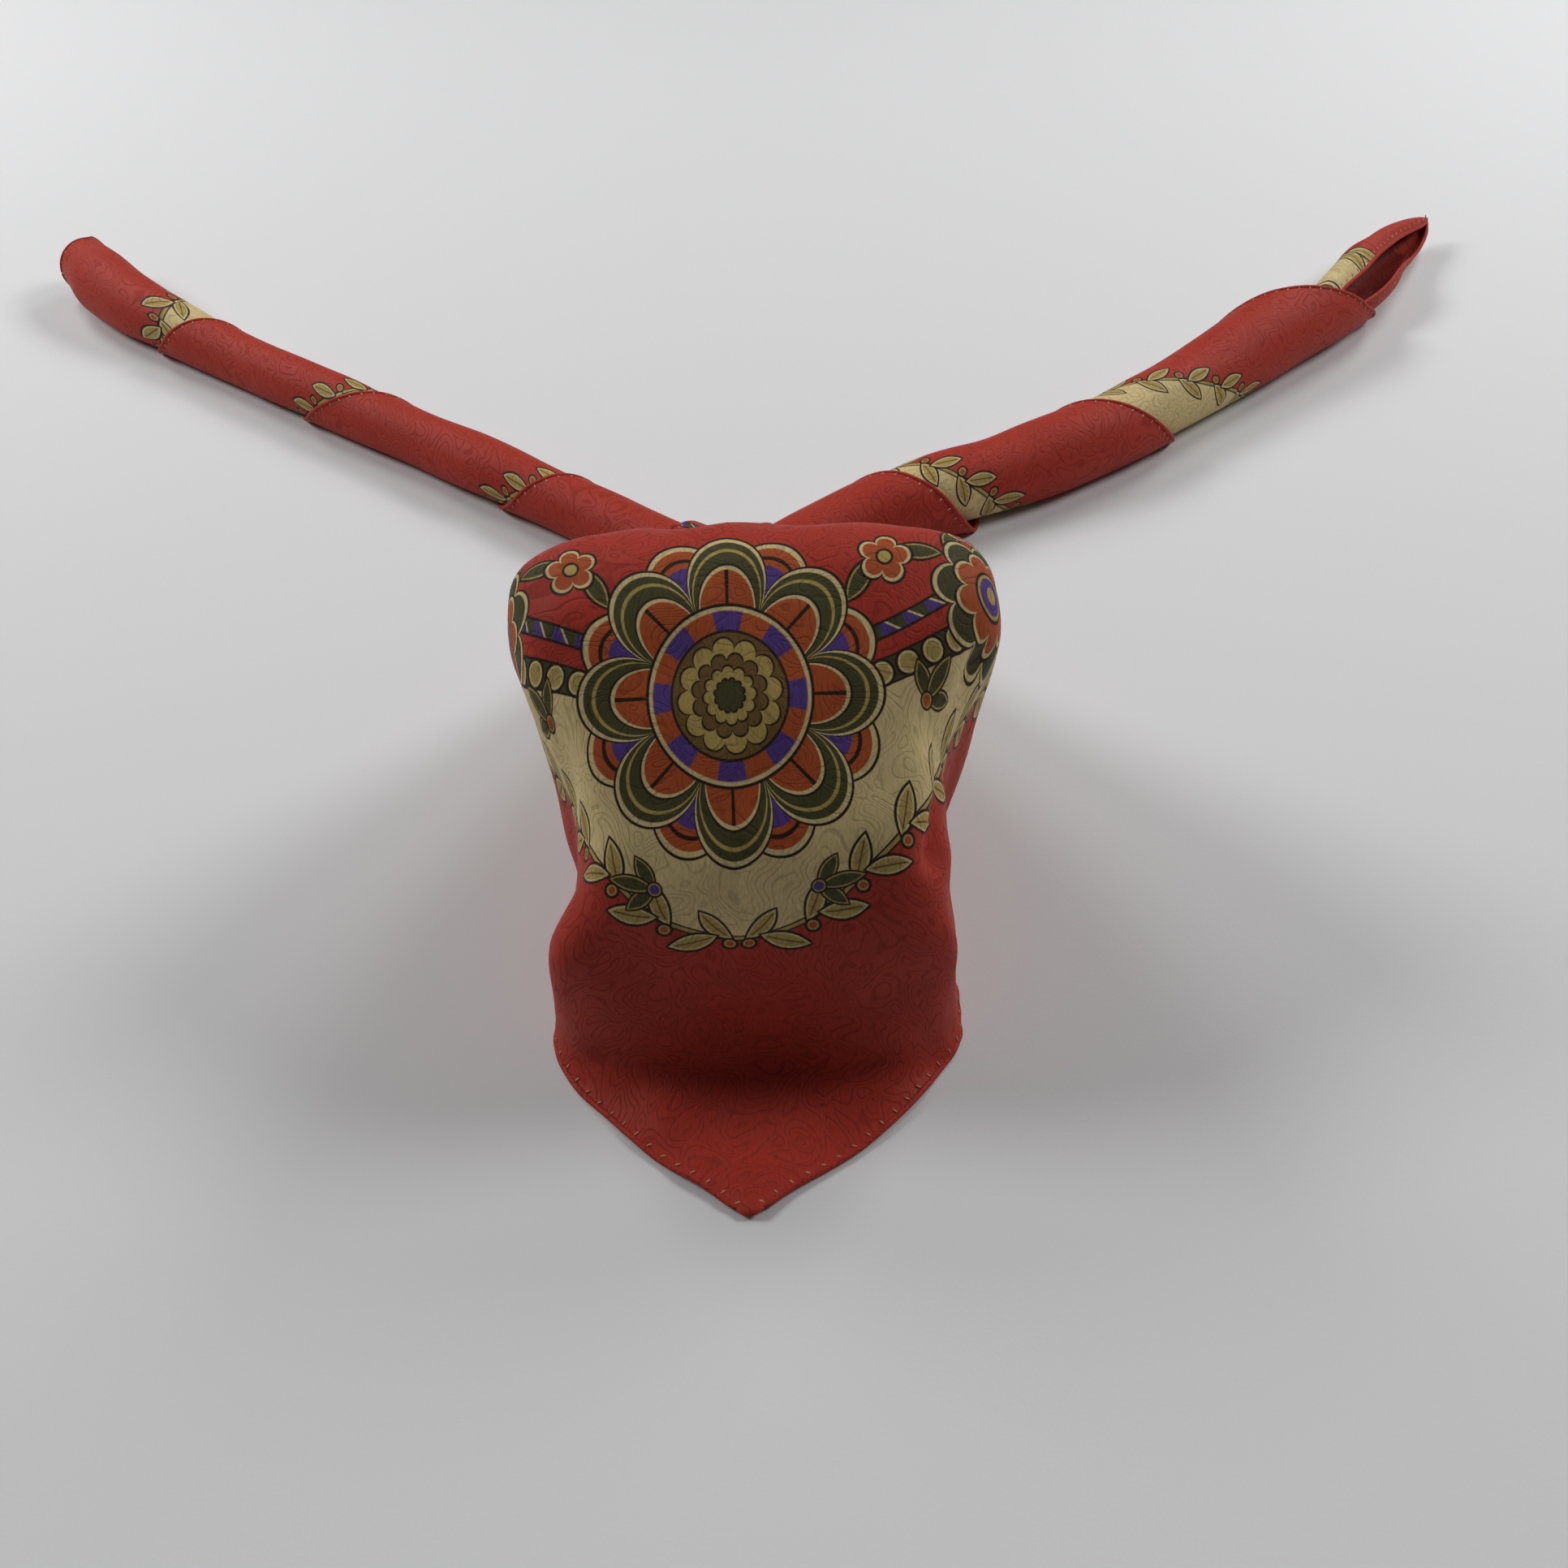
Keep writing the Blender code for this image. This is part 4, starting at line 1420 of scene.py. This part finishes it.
@dataclass
class DrapedFront(ClothPart):
    """The draped triangle, from its point over the crest to its end over the roll."""

    rows: int = 190
    top_columns: int = 26
    bend_columns: int = 16
    side_columns: int = 24
    crown: float = 0.0040
    crown_from: float = 0.03
    crown_full: float = 0.10
    back_fold_depth: float = 0.0022
    back_fold_count: float = 3.5
    cover_left: float = 0.0205
    cover_right: float = 0.0170
    cover_gap: float = 0.0013
    wall: float = 0.0012
    stretch_across: float = 1.05
    stretch_along: float = 0.95
    ripple: float = 0.00022
    end_fade: float = 0.35
    least_height: float = 0.0002
    hemmed_share: float = 0.97

    def side_line(
        self, middle: np.ndarray, shoulder: np.ndarray, foot: np.ndarray, bend: float
    ) -> list[np.ndarray]:
        """Points from the middle line out to the shoulder, round its bend and down to the foot.

        Args:
            middle: The middle line's point.
            shoulder: Where the two straight runs would meet.
            foot: Where the edge comes down.
            bend: How far before the shoulder its bend begins.

        Returns:
            The points.
        """
        out, down = shoulder - middle, foot - shoulder
        out_length, down_length = np.linalg.norm(out), np.linalg.norm(down)
        bend = min(bend, 0.8 * out_length, 0.6 * down_length)
        begin = shoulder - out * (bend / out_length)
        end = shoulder + down * (bend / down_length)
        top, side = self.top_columns, self.side_columns
        points = [middle + (begin - middle) * (k / top) for k in range(top)]
        for part in (k / self.bend_columns for k in range(self.bend_columns)):
            rest = 1.0 - part
            points.append(begin * rest ** 2 + shoulder * 2.0 * part * rest + end * part ** 2)
        points += [end + (foot - end) * (k / side) for k in range(side + 1)]
        return points

    def line(self, row: FrontRow) -> np.ndarray:
        """One line of points across the draped front, from its left edge to its right.

        Args:
            row: The line, by its middle, shoulders and feet.

        Returns:
            The line's points.
        """
        middle = np.array([0.0, row.y, row.z])
        top = row.z - self.crown * smooth_step(row.z, self.crown_from, self.crown_full)
        left, right = (
            self.side_line(
                middle,
                np.array([shoulder_x, row.y + row.lag, top]),
                np.array([foot_x, foot_y, row.foot_z]),
                row.bend,
            )
            for shoulder_x, foot_x, foot_y in (
                (-row.left, row.left_foot_x, row.left_foot_y),
                (row.right, row.right_foot_x, row.right_foot_y),
            )
        )
        return np.array(left[::-1] + right[1:])

    def cover(self, degrees: float, spacing: np.ndarray) -> np.ndarray:
        """One line of points where the cloth's end lies over the roll.

        Args:
            degrees: The angle round the roll.
            spacing: Where each point lies, from -1 at the left to 1 at the right.

        Returns:
            The points.
        """
        points = []
        for part in spacing:
            distance = part * (self.cover_left if part < 0.0 else self.cover_right)
            radius = self.axis.at(distance)[2] + self.cover_gap + self.wall
            points.append(self.axis.point(distance, degrees, radius, self.wall))
        return np.array(points)

    def surface(self) -> tuple[np.ndarray, np.ndarray]:
        """The cloth's outer points with its large folds.

        Returns:
            The points, and where each lies on the flat cloth before it is stretched.
        """
        lines = [self.line(row) for row in FRONT_TABLE]
        ends = run_lengths(lines[-1])
        spacing = 2.0 * ends / ends[-1] - 1.0
        lines += [self.cover(degrees, spacing) for degrees in COVER_ANGLES]
        table = np.array(lines)
        middle = table.shape[1] // 2
        run = run_lengths(table[:, middle])
        places = np.interp(np.linspace(0.0, run[-1], self.rows + 1), run, np.arange(len(run)))
        grid = np.array([smooth_row(table, place) for place in places])
        normals = grid_normals(grid)
        grid = self.back_folds(grid, normals, places)
        for fold in FOLD_TABLE:
            away = distance_to_line(grid, np.array(fold[:3]), np.array(fold[3:6]))[0]
            grid = grid + normals * (fold.depth * np.exp(-((away / fold.width) ** 2)))[..., None]
        return grid, self.flat_places(grid, middle)

    def back_folds(self, grid: np.ndarray, normals: np.ndarray, places: np.ndarray) -> np.ndarray:
        """Lays the long soft folds on the slope behind the crest.

        Args:
            grid: The draped points.
            normals: The outer side's direction at each.
            places: Each line's place in the table of lines.

        Returns:
            The moved points.
        """
        across = np.linspace(-1.0, 1.0, grid.shape[1])
        waves = np.cos(across * self.back_fold_count * 2.0 * math.pi)
        for i, place in enumerate(places):
            depth = self.back_fold_depth * smooth_step(place, CREST_ROW, CREST_ROW + 3)
            depth *= 1.0 - smooth_step(place, SLOPE_END_ROW - 1, SLOPE_END_ROW + 1)
            grid[i] -= normals[i] * (depth * (0.5 - 0.5 * waves))[:, None]
        return grid

    def flat_places(self, grid: np.ndarray, middle: int) -> np.ndarray:
        """Where each point lies on the flat cloth.

        Args:
            grid: The draped points.
            middle: The middle column.

        Returns:
            Across and along the cloth's diagonal, in metres.
        """
        along = run_lengths(grid[:, middle])
        places = np.zeros(grid.shape[:2] + (2,))
        for i, row in enumerate(grid):
            runs = run_lengths(row)
            across = runs - runs[middle]
            for edge, side in ((across[0], across < 0.0), (across[-1], across >= 0.0)):
                share = across[side] / edge
                places[i, side, 1] = along[i] + max(abs(edge) - along[i], 0.0) * share * share
            places[i, :, 0] = across
        return places

    def crease(self, grid: np.ndarray, flat: np.ndarray) -> np.ndarray:
        """Lays the small creases and the cloth's soft unevenness on the draped points.

        Args:
            grid: The draped points.
            flat: Where they lie on the flat cloth.

        Returns:
            The moved points.
        """
        place = flat * 100.0
        lift = np.zeros(grid.shape[:2])
        for row in CREASE_TABLE:
            away, part = distance_to_line(place, np.array(row[:2]), np.array(row[2:4]))
            fade = self.end_fade + (1.0 - self.end_fade) * np.sin(
                math.pi * np.clip(part, 0.04, 0.96)
            )
            lift += row.depth * 0.001 * fade * np.exp(-((away / row.width) ** 2))
        lift += self.ripple * sum(wave.at(place[..., 0], place[..., 1]) for wave in FRONT_WAVES)
        moved = grid + grid_normals(grid) * lift[..., None]
        moved[..., 2] = np.maximum(moved[..., 2], self.least_height)
        return moved

    def build(self) -> None:
        """Builds the draped cloth, its hems and its stitches."""
        grid, flat = self.surface()
        grid = self.crease(grid, flat)
        normals = grid_normals(grid)
        shown = flat * np.array([self.stretch_across, self.stretch_along])
        cloth = lofted("front_cloth", grid, normals, self.finishes.printed, shown)
        thicken(cloth, self.thickness)
        self.settle(cloth, "silk_print", ("front_panel",))
        made: list[bpy.types.Object] = []
        last = int(self.rows * self.hemmed_share)
        for name, column, inside in (("front_left", 0, 3), ("front_right", -1, -4)):
            edge, within = grid[1:last, column], grid[1:last, inside]
            made += self.hem(name, edge, within, normals[1:last, column])
        self.sheet(cloth, shown, "draped", "neck_roll", made)


@dataclass
class NeckRoll(ClothPart):
    """The rolled fold behind the neck, between the two tails."""

    steps: int = 60
    sides: int = 72
    end_gap: float = 0.0003
    layers: float = 3.0
    layer_step: float = 0.00045
    layer_twist: float = 9.0
    seam: float = 15.0
    print_along: float = 0.285

    def build(self) -> None:
        """Builds the roll with the edges of its layers as low steps."""
        points = np.zeros((self.steps + 1, self.sides + 1, 3))
        flat = np.zeros((self.steps + 1, self.sides + 1, 2))
        outward = np.zeros_like(points)
        left, right = self.end_gap - LEFT_START, RIGHT_START - self.end_gap
        for i, distance in enumerate(np.linspace(left, right, self.steps + 1)):
            full = self.axis.at(distance)[2]
            for j, degrees in enumerate(np.linspace(0.0, FULL_TURN, self.sides + 1)):
                turn = (degrees * self.layers / FULL_TURN + distance * self.layer_twist) % 1.0
                layered = self.seam < degrees < FULL_TURN - self.seam
                radius = full - self.layer_step * (turn ** 3) if layered else full
                points[i, j] = self.axis.point(distance, degrees, radius, 0.0)
                outward[i, j] = points[i, j] - self.axis.centre(distance)
                flat[i, j] = (distance, self.print_along + full * math.radians(degrees))
        roll = lofted("neck_roll", points, outward, self.finishes.printed, flat)
        thicken(roll, self.thickness)
        self.settle(roll, "silk_print", ("middle_roll",))
        self.sheet(roll, flat, "folded", "floor")


@dataclass
class WoundTail(ClothPart):
    """A rolled tail: the stretches of cloth whose hem winds round it."""

    side: Side = Side.LEFT
    passes: Sequence[PassRow] = LEFT_PASSES
    lips: Sequence[LipRow] = LEFT_LIPS
    print_depths: Sequence[float] = (0.86, 0.88, 0.90, 0.56)
    steps: int = 44
    sides: int = 88
    first_angle: float = -90.0
    underlap: float = 0.16
    lap: float = 0.0010
    sink_end: float = 0.35
    far_corner: float = 0.52
    least_height: float = 0.0001
    ripple: float = 0.00016
    ease_in: tuple[float, float] = (-70.0, -10.0)
    ease_out: tuple[float, float] = (190.0, 250.0)
    pinch: float = 0.20
    pinch_from: float = 0.60
    trim: float = 0.0072
    corner_reach: float = 0.0062
    corner_angle: float = 42.0
    corner_spread: float = 15.0

    @property
    def name(self) -> str:
        """The tail's name, which its solids' names begin with."""
        return f"tail_{self.side.name.lower()}"

    def pass_at(self, row: PassRow, degrees: float) -> float:
        """Where a line round the tail lies along it, at an angle from -90 to 270 degrees."""
        return float(np.interp(degrees, (-90.0, 0.0, 180.0, 270.0), row))

    def is_end(self, index: int) -> bool:
        """True for the left tail's last stretch, whose hem closes a little at its end."""
        return self.side is Side.LEFT and index == len(self.lips) - 1

    def hem_length(self, row: PassRow) -> float:
        """How long one pass of the hem is."""
        around = 2.0 * math.pi * self.axis.at(self.side.value * row.back)[2]
        return math.hypot(row.below_again - row.below, around)

    def build(self) -> None:
        """Builds each stretch from the roll outwards."""
        hem_run = self.far_corner - sum(self.hem_length(row) for row in self.passes[1:])
        for index in range(len(self.lips)):
            self.stretch(index, hem_run)
            hem_run += self.hem_length(self.passes[index + 1])

    def distance(self, index: int, part: float, degrees: float) -> tuple[float, float]:
        """How far along the tail a place lies.

        Args:
            index: The stretch's number.
            part: The place's share of the way to the stretch's hem.
            degrees: Its angle round the tail.

        Returns:
            The distance along the tail, and the gap from there to the hem.
        """
        near = self.pass_at(self.passes[index], degrees)
        far = self.pass_at(self.passes[index + 1], degrees)
        ahead = near + (far - near) * part
        return ahead, far - ahead

    def radius(
        self,
        index: int,
        part: float,
        degrees: float,
        distance: float,
        cloth: tuple[float, float],
    ) -> tuple[float, float]:
        """How far a place stands off the tail's middle line.

        Args:
            index: The stretch's number.
            part: The place's share of the way to the stretch's hem.
            degrees: Its angle round the tail.
            distance: Its distance along the tail.
            cloth: Where it lies on the flat cloth, down and across the hem.

        Returns:
            The radius, and how far it is sunk under the stretch before.
        """
        lip, down, deep = self.lips[index], cloth[0], cloth[1]
        sunk = 0.0 if index == 0 else self.lap * (1.0 - smooth_step(part, 0.0, self.sink_end))
        towards = 0.5 + 0.5 * math.cos(math.radians(degrees - lip.angle))
        gape = lip.gape * smooth_step(part, self.sink_end, 1.0) * towards
        waves = TAIL_WAVES[0]._replace(start=float(index)).at(deep, down)
        waves += TAIL_WAVES[1].at(deep, down)
        waves += TAIL_HEM_WAVE.at(deep, down) * smooth_step(part, 0.2, 0.6)
        ease = smooth_step(degrees, *self.ease_in) * (1.0 - smooth_step(degrees, *self.ease_out))
        full = self.axis.at(distance)[2] * (1.0 - self.pinch * self.closing(index, part))
        return full + gape + self.ripple * waves * ease - sunk, sunk

    def closing(self, index: int, part: float) -> float:
        """How far the tail's end has closed, from 0 to 1."""
        return smooth_step(part, self.pinch_from, 1.0) if self.is_end(index) else 0.0

    def stretch(self, index: int, hem_run: float) -> None:
        """Builds one stretch of the wound cloth.

        Args:
            index: Its number, from 0 at the roll.
            hem_run: How far along the cloth's edge its hem begins.
        """
        outside = self.passes[index + 1]
        shape = (self.steps + 1, self.sides + 1)
        points, outward = np.zeros(shape + (3,)), np.zeros(shape + (3,))
        flat, cut = np.zeros(shape + (2,)), np.zeros(shape + (2,))
        around = 2.0 * math.pi * self.axis.at(self.side.value * outside.back)[2]
        lean = math.atan2(outside.below_again - outside.below, around)
        first_part = 0.0 if index == 0 else -self.underlap
        last_angle = self.first_angle + FULL_TURN
        for i, part in enumerate(np.linspace(first_part, 1.0, self.steps + 1)):
            closing = self.closing(index, part)
            for j, degrees in enumerate(np.linspace(self.first_angle, last_angle, self.sides + 1)):
                ahead, gap = self.distance(index, part, degrees)
                turned = (degrees - self.corner_angle) / self.corner_spread
                corner = self.corner_reach * math.exp(-(turned ** 2))
                distance = self.side.value * (ahead + (corner - self.trim) * closing)
                share = (degrees - self.first_angle) / FULL_TURN
                down = hem_run + share * self.hem_length(outside) - gap * math.sin(lean)
                cut[i, j] = (down, gap * math.cos(lean))
                deep = cut[i, j, 1] * self.print_depths[index]
                radius, sunk = self.radius(index, part, degrees, distance, (down, deep))
                floor = sunk + self.least_height
                points[i, j] = self.axis.point(distance, degrees, radius, floor)
                outward[i, j] = points[i, j] - self.axis.centre(distance)
                flat[i, j] = ((down - deep) * DIAGONAL, (down + deep) * DIAGONAL)
        name = f"{self.name}_{index + 1}"
        cloth = lofted(f"{name}_cloth", points, outward, self.finishes.printed, flat)
        thicken(cloth, self.thickness)
        self.settle(cloth, "silk_print", (name,))
        made = self.hem(name, points[-1], points[-3], unit(outward)[-1])
        self.sheet(cloth, cut, "folded", "floor", made)


@dataclass
class OpenCorner(ClothPart):
    """The right tail's last corner, a curl that opens upwards and narrows to a point."""

    steps: int = 70
    sides: int = 72
    tip_run: float = 0.002
    near_slope: float = 0.72
    near_lean: float = 0.17
    far_slope: float = 0.48
    far_lean: float = 0.50
    tuck_depth: float = 0.42
    tuck_end: float = 12.0
    slope_span: float = 0.05
    least_height: float = 0.0002

    def surface(self, layer: CurlLayer) -> tuple[np.ndarray, np.ndarray]:
        """One layer of the curl, its near edge tucked in.

        Args:
            layer: Which part of the curl it fills.

        Returns:
            The layer's points and its middle line.
        """
        table = np.array(RIGHT_CURL, dtype=float)
        points = np.zeros((self.steps + 1, self.sides + 1, 3))
        centres = np.zeros((self.steps + 1, 3))
        span = self.slope_span
        for i, place in enumerate(np.linspace(layer.start, layer.end, self.steps + 1)):
            row = CurlRow(*smooth_row(table, place))
            ahead = smooth_row(table, place + span) - smooth_row(table, place - span)
            along = ahead[:2] / np.hypot(ahead[0], ahead[1])
            centres[i] = (row.x, row.y, row.z)
            near, far = row.near_edge + layer.near, row.far_edge - layer.far
            for j, degrees in enumerate(np.linspace(near, far, self.sides + 1)):
                angle = math.radians(degrees)
                past = degrees - row.near_edge
                loose = smooth_step(past, -TUCK_ANGLE, self.tuck_end)
                radius = (row.radius - layer.inset) * (1.0 - self.tuck_depth * (1.0 - loose))
                reach = radius * math.cos(angle)
                height = max(row.z + radius * math.sin(angle), self.least_height + layer.inset)
                points[i, j] = (row.x + along[1] * reach, row.y - along[0] * reach, height)
        return points, centres

    def flat_places(self, points: np.ndarray, centres: np.ndarray) -> np.ndarray:
        """Where the curl's points lie on the flat cloth, measured back from its corner.

        Args:
            points: The curl's points.
            centres: Its middle line.

        Returns:
            Across and along the cloth's diagonal, in metres.
        """
        run = run_lengths(centres)
        flat = np.zeros(points.shape[:2] + (2,))
        for i, row in enumerate(points):
            width = run_lengths(row)
            from_tip = run[-1] - run[i] + self.tip_run
            near = from_tip * self.near_slope + self.near_lean * width
            far = from_tip * self.far_slope + self.far_lean * (width[-1] - width)
            flat[i] = np.stack([near - far, near + far], axis=-1) * DIAGONAL
        return flat

    def build(self) -> None:
        """Builds the curl, its hems and stitches, and the fold inside it."""
        points, centres = self.surface(OUTER_LAYER)
        outward = points - centres[:, None]
        flat = self.flat_places(points, centres)
        cloth = lofted("tail_right_corner_cloth", points, outward, self.finishes.printed, flat)
        thicken(cloth, self.thickness)
        self.settle(cloth, "silk_print", ("tail_right_corner",))
        outward = unit(outward)
        made: list[bpy.types.Object] = []
        for edge, column, inside in (("near", 0, 3), ("far", -1, -4)):
            name = f"tail_right_corner_{edge}"
            made += self.hem(name, points[:, column], points[:, inside], outward[:, column])
        self.rolled_sheet(cloth, points, self.sides // 2, "floor", made)
        points, centres = self.surface(INNER_FOLD)
        outward = points - centres[:, None]
        # The fold inside the curl takes the red darkened as painted shade.
        fold = lofted("tail_right_corner_fold", points, outward, self.finishes.inner)
        thicken(fold, self.thickness)
        self.settle(fold, "silk_inner", ("tail_right_corner_core",))
        self.rolled_sheet(fold, points, self.sides // 2, "floor")


@dataclass
class RolledLayers(ClothPart):
    """The cloth rolled up inside a tail, as the spiral that shows at its end."""

    side: Side = Side.LEFT
    start: float = 0.0300
    end: float = 0.3520
    turns: float = 2.4
    first_angle: float = 200.0
    steps: int = 60
    sides: int = 110
    inner_share: float = 0.25
    depth: float = 0.0034

    def build(self) -> None:
        """Builds the spiral from the roll to near the tail's end."""
        tail = f"tail_{self.side.name.lower()}"
        points = np.zeros((self.steps + 1, self.sides + 1, 3))
        outward = np.zeros_like(points)
        for i, distance in enumerate(np.linspace(self.start, self.end, self.steps + 1)):
            distance *= self.side.value
            full = self.axis.at(distance)[2] - self.depth
            for j, share in enumerate(np.linspace(0.0, 1.0, self.sides + 1)):
                radius = full * (self.inner_share + (1.0 - self.inner_share) * share)
                degrees = self.first_angle + share * self.turns * FULL_TURN
                floor = self.depth * (1.3 - 0.3 * share)
                points[i, j] = self.axis.point(distance, degrees, radius, floor)
                outward[i, j] = points[i, j] - self.axis.centre(distance)
        # The rolled layers take the red darkened as painted shade.
        layers = lofted(f"{tail}_layers", points, outward, self.finishes.inner)
        thicken(layers, self.thickness)
        self.settle(layers, "silk_inner", (f"{tail}_core",))
        self.rolled_sheet(layers, points, -1, f"{tail}_1_cloth")


# The table, the light and the camera


@dataclass(frozen=True)
class Studio:
    """The pale cloth-covered table, its soft light and the camera."""

    floor_size: float = 5.0
    camera_place: tuple[float, float, float] = (0.011, -0.436, 0.331)
    camera_tilt: float = 46.5
    camera_roll: float = 0.032
    lens: float = 38.61
    floor_shade: tuple[float, float, float, float] = (0.705, 0.705, 0.712, 1.0)
    floor_roughness: float = 0.85
    floor_specular: float = 0.2
    weave_size: float = 900.0
    weave_strength: float = 0.12
    weave_depth: float = 0.0003
    world_shade: tuple[float, float, float, float] = (0.95, 0.97, 1.0, 1.0)
    world_strength: float = 0.060
    lamp_power: float = 19.0
    lamp_size: float = 0.70

    def camera(self) -> None:
        """Places the camera at the photograph's viewpoint."""
        data = bpy.data.cameras.new("camera")
        data.sensor_width = 36.0
        data.lens = self.lens
        data.clip_start = 0.01
        data.clip_end = 50.0
        camera = bpy.data.objects.new("camera", data)
        tilt = Matrix.Rotation(math.radians(self.camera_tilt), 4, "X")
        roll = Matrix.Rotation(-math.atan(self.camera_roll), 4, "Z")
        camera.matrix_world = Matrix.Translation(self.camera_place) @ tilt @ roll
        bpy.context.scene.collection.objects.link(camera)
        bpy.context.scene.camera = camera

    def floor(self) -> None:
        """Lays the pale cloth on the table."""
        builder = bmesh.new()
        bmesh.ops.create_grid(builder, x_segments=8, y_segments=8, size=0.5 * self.floor_size)
        new_piece("floor", builder, self.floor_finish())

    def floor_finish(self) -> bpy.types.Material:
        """A matt pale weave.

        Returns:
            The material.
        """
        material, tree, shader = new_finish("pale_cloth")
        weave = noise(tree, on_object(tree), self.weave_size)
        relief(tree, shader, weave, self.weave_strength, self.weave_depth)
        shader.inputs["Base Color"].default_value = self.floor_shade
        shader.inputs["Roughness"].default_value = self.floor_roughness
        shader.inputs["Specular IOR Level"].default_value = self.floor_specular
        return material

    def lights(self) -> None:
        """Hangs a soft lamp on each side and two weak ones behind, and lights the room."""
        world = bpy.data.worlds.new("room")
        world.use_nodes = True
        sky = world.node_tree.nodes["Background"]
        sky.inputs["Color"].default_value = self.world_shade
        sky.inputs["Strength"].default_value = self.world_strength
        bpy.context.scene.world = world
        for row in LAMPS:
            data = bpy.data.lights.new("lamp", "AREA")
            data.shape = "DISK"
            data.size = self.lamp_size
            data.energy = self.lamp_power * row.share
            data.spread = math.radians(row.spread)
            lamp = bpy.data.objects.new("lamp", data)
            lamp.location = row.place
            lamp.rotation_mode = "QUATERNION"
            way = Vector(row.target) - Vector(row.place)
            lamp.rotation_quaternion = way.to_track_quat("-Z", "Y")
            bpy.context.scene.collection.objects.link(lamp)

    def build(self) -> None:
        """Builds the floor and the lights, and sets plain display colours."""
        self.floor()
        self.lights()
        bpy.context.scene.view_settings.view_transform = "Standard"


def main() -> None:
    """Builds the neckerchief on its frame."""
    logging.basicConfig(level=logging.INFO, format="%(name)s: %(message)s")
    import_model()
    studio = Studio()
    studio.camera()
    finishes = Finishes.make()
    axis = RollAxis(ROLL_AXIS, MIDDLE_ROW)
    studio.build()
    NeckRoll(axis, finishes).build()
    DrapedFront(axis, finishes).build()
    WoundTail(axis, finishes).build()
    WoundTail(
        axis,
        finishes,
        side=Side.RIGHT,
        passes=RIGHT_PASSES,
        lips=RIGHT_LIPS,
        print_depths=(0.92, 0.92, 1.0),
    ).build()
    OpenCorner(axis, finishes).build()
    RolledLayers(axis, finishes).build()
    RolledLayers(axis, finishes, side=Side.RIGHT, end=0.1950).build()


if __name__ == "__main__":
    main()
